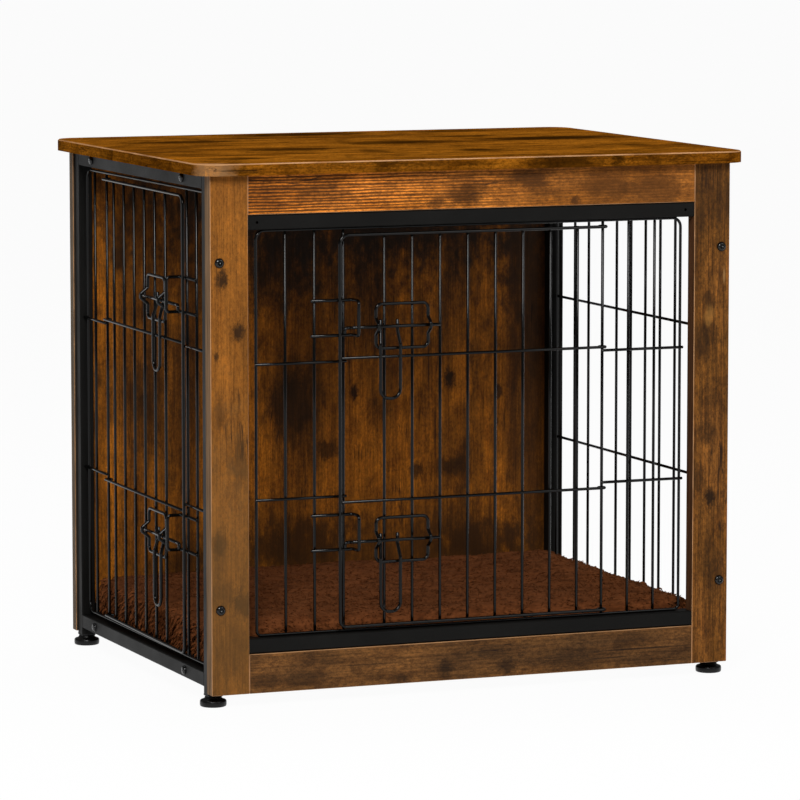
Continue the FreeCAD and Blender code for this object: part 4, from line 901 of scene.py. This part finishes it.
def mat_shape(a, b, c, middle, half):
    """A point of the pad from three numbers between -1 and 1: rounded corners, crowned top, full hem."""
    x = a * half.x
    y = b * half.y
    z = c * half.z
    beyond_x = max(0, abs(x) - (half.x - CORNER))
    beyond_y = max(0, abs(y) - (half.y - CORNER))
    reach = math.hypot(beyond_x, beyond_y)
    if reach > CORNER:
        x -= math.copysign(beyond_x * (1 - CORNER / reach), x)
        y -= math.copysign(beyond_y * (1 - CORNER / reach), y)
    edge = min(half.x - abs(x), half.y - abs(y))
    pinch = max(0.0, 1 - edge / PINCH_REACH)
    if c > 0:
        z -= half.z * PINCH_DEPTH * pinch ** PINCH_POWER * c
        sway = noise.noise(Vector((x * 9, y * 9, 2.3))) * 0.0030
        sway += noise.noise(Vector((x * 26, y * 26, 7.1))) * 0.0016
        z += (sway - SETTLE) * c
    bulge = 1 - (z / half.z) ** 2
    x += math.copysign(BULGE * bulge, x) * max(0, 1 - (half.x - abs(x)) / BULGE_REACH)
    return Vector((x, y, z)) + middle


def fleece_mat():
    low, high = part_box("mat")
    middle = (low + high) / 2
    half = (high - low) / 2 - PAD_INSET
    vertices, faces = [], []

    def grid(count_a, count_b, place):
        base = len(vertices)
        for i in range(count_a + 1):
            for j in range(count_b + 1):
                at = place(-1 + 2 * i / count_a, -1 + 2 * j / count_b)
                vertices.append(mat_shape(*at, middle, half))
        for i in range(count_a):
            for j in range(count_b):
                k = base + i * (count_b + 1) + j
                faces.append((k, k + count_b + 1, k + count_b + 2, k + 1))

    grid(PAD_COLUMNS, PAD_ROWS, lambda a, b: (a, b, 1))
    grid(PAD_ROWS, PAD_COLUMNS, lambda b, a: (a, b, -1))
    grid(PAD_LAYERS, PAD_COLUMNS, lambda c, a: (a, -1, c))
    grid(PAD_COLUMNS, PAD_LAYERS, lambda a, c: (a, 1, c))
    grid(PAD_ROWS, PAD_LAYERS, lambda b, c: (-1, b, c))
    grid(PAD_LAYERS, PAD_ROWS, lambda c, b: (1, b, c))
    pad = mesh_piece("fleece_mat", vertices, faces, fleece_look, "root", ["mat"])
    work = bmesh.new()
    work.from_mesh(pad.data)
    bmesh.ops.remove_doubles(work, verts=work.verts, dist=WELD)
    bmesh.ops.recalc_face_normals(work, faces=work.faces)
    work.normal_update()
    for vertex in work.verts:  # the normals stay as they were until the next update
        p = vertex.co
        lumps = noise.fractal(p * LUMP_RATE, 0.9, 2.2, 3) * LUMP_HEIGHT
        curls = (1 - abs(noise.noise(p * CURL_RATE)) * 2) * CURL_HEIGHT
        vertex.co += vertex.normal * (lumps + curls)
        vertex.co.z = max(vertex.co.z, low.z)
    work.to_mesh(pad.data)
    work.free()
    return pad


FLOOR_EDGE = 0.2666  # the floor board ends here, and the pile may hang past it
HEM_LIMIT = Vector((0.2722, 0.2, 0.088))  # the pile stays inside the wires, the posts and the back
BOARD_TOP, HANG = 0.0464, 0.0372  # the lowest that the pile goes, over the board and beside it
TUFTS, TUFT_SEED = 30000, 7
TUFT_ROOT = 0.0012  # how deep a tuft starts under the pad's surface
HEM_INSET = (0.002, 0.006)
HEM_HEIGHT = 0.022
HEM_LOCKS = 9  # in a bunch
SIDE_TIERS, END_TIERS = (1.1, 0.7, 0.35, 0.1), (0.8, 0.3)  # heights, as shares of the hem's
# the way each edge of the mat faces, how many bunches it has, how long they are, and their tiers
HEMS = (
    ((-1, 0), 84, 0.017, SIDE_TIERS), ((1, 0), 60, 0.011, SIDE_TIERS),
    ((0, -1), 60, 0.008, END_TIERS), ((0, 1), 60, 0.008, END_TIERS),
)


def spread(rng, reach):
    """A vector with each part drawn between -reach and reach."""
    return Vector([rng.uniform(-reach, reach) for axis in range(3)])


def lock(vertices, faces, rng, root, way, length, width, drop, wander, levels, sides):
    """One tapering lock of pile that starts at its root and droops as it goes."""
    base = len(vertices)
    point = root.copy()
    twist = rng.uniform(0, math.pi)
    for k in range(levels):
        t = k / (levels - 1)
        r = width * (1 - 0.75 * t ** 1.5)
        side = way.orthogonal().normalized()
        other = way.cross(side)
        for m in range(sides):
            a = twist + t * 1.6 + 2 * math.pi * m / sides
            v = point + side * (r * math.cos(a)) + other * (r * math.sin(a))
            lowest = HANG if abs(v.x) > FLOOR_EDGE else BOARD_TOP
            v.x = min(max(v.x, -HEM_LIMIT.x), HEM_LIMIT.x)
            v.y = min(max(v.y, -HEM_LIMIT.y), HEM_LIMIT.y)
            v.z = min(max(v.z, lowest), HEM_LIMIT.z)
            vertices.append(v)
        jitter = spread(rng, wander)
        way = (way + Vector((0, 0, -drop)) + jitter).normalized()
        point = point + way * (length / (levels - 1))
    rings = [list(range(base + sides * k, base + sides * (k + 1))) for k in range(levels)]
    for one, two in zip(rings, rings[1:]):
        faces.extend(band(one, two))
    faces.append(tuple(rings[-1]))


def pile(pad):
    """Short combed pile over the pad, and bunches of longer curled locks along its hem."""
    rng = random.Random(TUFT_SEED)
    vertices, faces = [], []
    low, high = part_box("mat")
    polygons = [p for p in pad.data.polygons if p.normal.z > -0.3]
    chosen = rng.choices(polygons, [p.area for p in polygons], k=TUFTS)
    for p in chosen:
        c = p.center
        root = c + spread(rng, 0.0015) - p.normal * TUFT_ROOT
        turn = noise.noise(c * 16) * 5 + noise.noise(c * 45) * 2
        lean = Vector((math.cos(turn), math.sin(turn), 0))
        way = (p.normal * 0.45 + lean + spread(rng, 0.25)).normalized()
        length, width = rng.uniform(0.0030, 0.0048), rng.uniform(0.0006, 0.0010)
        lock(vertices, faces, rng, root, way, length, width, 0.15, 0.25, 3, 3)
    middle = (low + high) / 2
    half = [(high[i] - low[i]) / 2 - HEM_INSET[i] for i in (0, 1)]
    bunches = []
    for facing, count, length, tiers in HEMS:
        outward = Vector((*facing, 0))
        run = 1 if outward.x else 0  # the axis along this edge
        for i in range(count):
            place = Vector((0, 0, 0))
            place[1 - run] = middle[1 - run] + outward[1 - run] * half[1 - run]
            place[run] = middle[run] + half[run] * (-1 + 2 * (i + 0.5) / count) + rng.uniform(-0.002, 0.002)
            for tier in tiers:
                place.z = low.z + tier * HEM_HEIGHT
                bunches.append((place.copy(), outward, length))
    for place, outward, length in bunches:
        across = Vector((-outward.y, outward.x, 0))
        aside = across * rng.uniform(-0.7, 0.7)
        heading = (outward + aside + Vector((0, 0, rng.uniform(-0.5, 0.5)))).normalized()
        for number in range(HEM_LOCKS):
            aside = across * rng.uniform(-0.0030, 0.0030)
            root = place + aside + Vector((0, 0, rng.uniform(-0.003, 0.003)))
            way = (heading + spread(rng, 0.22)).normalized()
            reach, width = length * rng.uniform(0.7, 1.15), rng.uniform(0.0015, 0.0023)
            drop = rng.uniform(0.3, 1.0)
            lock(vertices, faces, rng, root, way, reach, width, drop, 0.55, 6, 4)
    mesh_piece("fleece_pile", vertices, faces, fleece_look, "root", ())


fleece_look = fleece()
pile(fleece_mat())

# ---- stage, light and camera
FLOOR_REACH = 60
WHITE_SHARE = 0.96  # how much of what a camera sees of the floor is plain white
SOFT_LIGHT = 0.16  # what the white room gives to the object


def seen_by(tree, *rays):
    """1 for the kinds of ray named, and 0 for all others."""
    paths = node(tree, "LightPath")
    seen = paths.outputs[rays[0]]
    for ray in rays[1:]:
        seen = calc(tree, "MAXIMUM", seen, paths.outputs[ray])
    return seen


def backdrop():
    """A wide floor that looks white and keeps only the object's own shadow."""
    material, tree, shader = new_material("backdrop")
    shader.inputs["Base Color"].default_value = (0.80, 0.80, 0.80, 1)
    shader.inputs["Roughness"].default_value = 0.9
    shader.inputs["Specular IOR Level"].default_value = 0.1
    output = next(n for n in tree.nodes if n.type == "OUTPUT_MATERIAL")
    white = node(tree, "Emission", {"Color": (1, 1, 1, 1), "Strength": 1.0})
    seen = seen_by(tree, "Is Camera Ray", "Is Glossy Ray", "Is Transmission Ray")
    share = calc(tree, "MULTIPLY", seen, WHITE_SHARE)
    mix = node(tree, "MixShader", {0: share, 1: shader.outputs[0], 2: white.outputs[0]})
    tree.links.new(mix.outputs[0], output.inputs[0])
    mesh = bpy.data.meshes.new("floor")
    corners = [(x * FLOOR_REACH, y * FLOOR_REACH, 0) for x, y in ((-1, -1), (1, -1), (1, 1), (-1, 1))]
    mesh.from_pydata(corners, [], [(0, 1, 2, 3)])
    mesh.materials.append(material)
    floor = bpy.data.objects.new("floor", mesh)
    bpy.context.scene.collection.objects.link(floor)


def room():
    """A world that is white to look at and gives a soft light."""
    world = bpy.data.worlds.new("studio")
    bpy.context.scene.world = world
    world.use_nodes = True
    tree = world.node_tree
    tree.nodes.clear()
    output = tree.nodes.new("ShaderNodeOutputWorld")
    soft = node(tree, "Background", {"Color": (1, 1, 1, 1), "Strength": SOFT_LIGHT})
    white = node(tree, "Background", {"Color": (1, 1, 1, 1), "Strength": 1.0})
    seen = seen_by(tree, "Is Camera Ray", "Is Transmission Ray")
    both = node(tree, "MixShader", {0: seen, 1: soft.outputs[0], 2: white.outputs[0]})
    tree.links.new(both.outputs[0], output.inputs[0])


def lamp(name, place, target, size, power):
    light = bpy.data.lights.new(name, "AREA")
    light.shape = "DISK"
    light.size = size
    light.energy = power
    item = bpy.data.objects.new(name, light)
    item.location = place
    item.rotation_euler = (Vector(target) - Vector(place)).to_track_quat("-Z", "Y").to_euler()
    bpy.context.scene.collection.objects.link(item)


backdrop()
room()
lamp("key", (-1.2, -2.4, 1.9), (0, 0, 0.3), 1.1, 74)
lamp("fill", (1.3, -2.2, 1.7), (0, 0, 0.3), 1.4, 16)
lamp("top", (0.1, 0.5, 2.6), (0, 0, 0.4), 1.6, 32)

# the camera, fitted to the object's corners: angles in radians, lengths in metres, the lens in pixels
AZIMUTH, ELEVATION = -0.38076, 0.11385
DISTANCE, ACROSS, RAISE = 5.05453, 0.00825, -0.00815
FOCAL_PIXELS, PICTURE_PIXELS, SENSOR = 4764.2, 800, 36
LOOK_AT = Vector((0, 0.002, 0.28475))
back = Vector((
    math.sin(AZIMUTH) * math.cos(ELEVATION), -math.cos(AZIMUTH) * math.cos(ELEVATION), math.sin(ELEVATION),
))
right = Vector((math.cos(AZIMUTH), math.sin(AZIMUTH), 0))
up = back.cross(right)
camera_data = bpy.data.cameras.new("camera")
camera_data.sensor_fit = "HORIZONTAL"
camera_data.sensor_width = SENSOR
camera_data.lens = FOCAL_PIXELS * SENSOR / PICTURE_PIXELS
camera = bpy.data.objects.new("camera", camera_data)
eye = LOOK_AT + back * DISTANCE + right * ACROSS + up * RAISE
camera.matrix_world = Matrix.Translation(eye) @ Matrix((right, up, back)).transposed().to_4x4()
bpy.context.scene.collection.objects.link(camera)
bpy.context.scene.camera = camera
bpy.context.scene.view_settings.view_transform = "Standard"
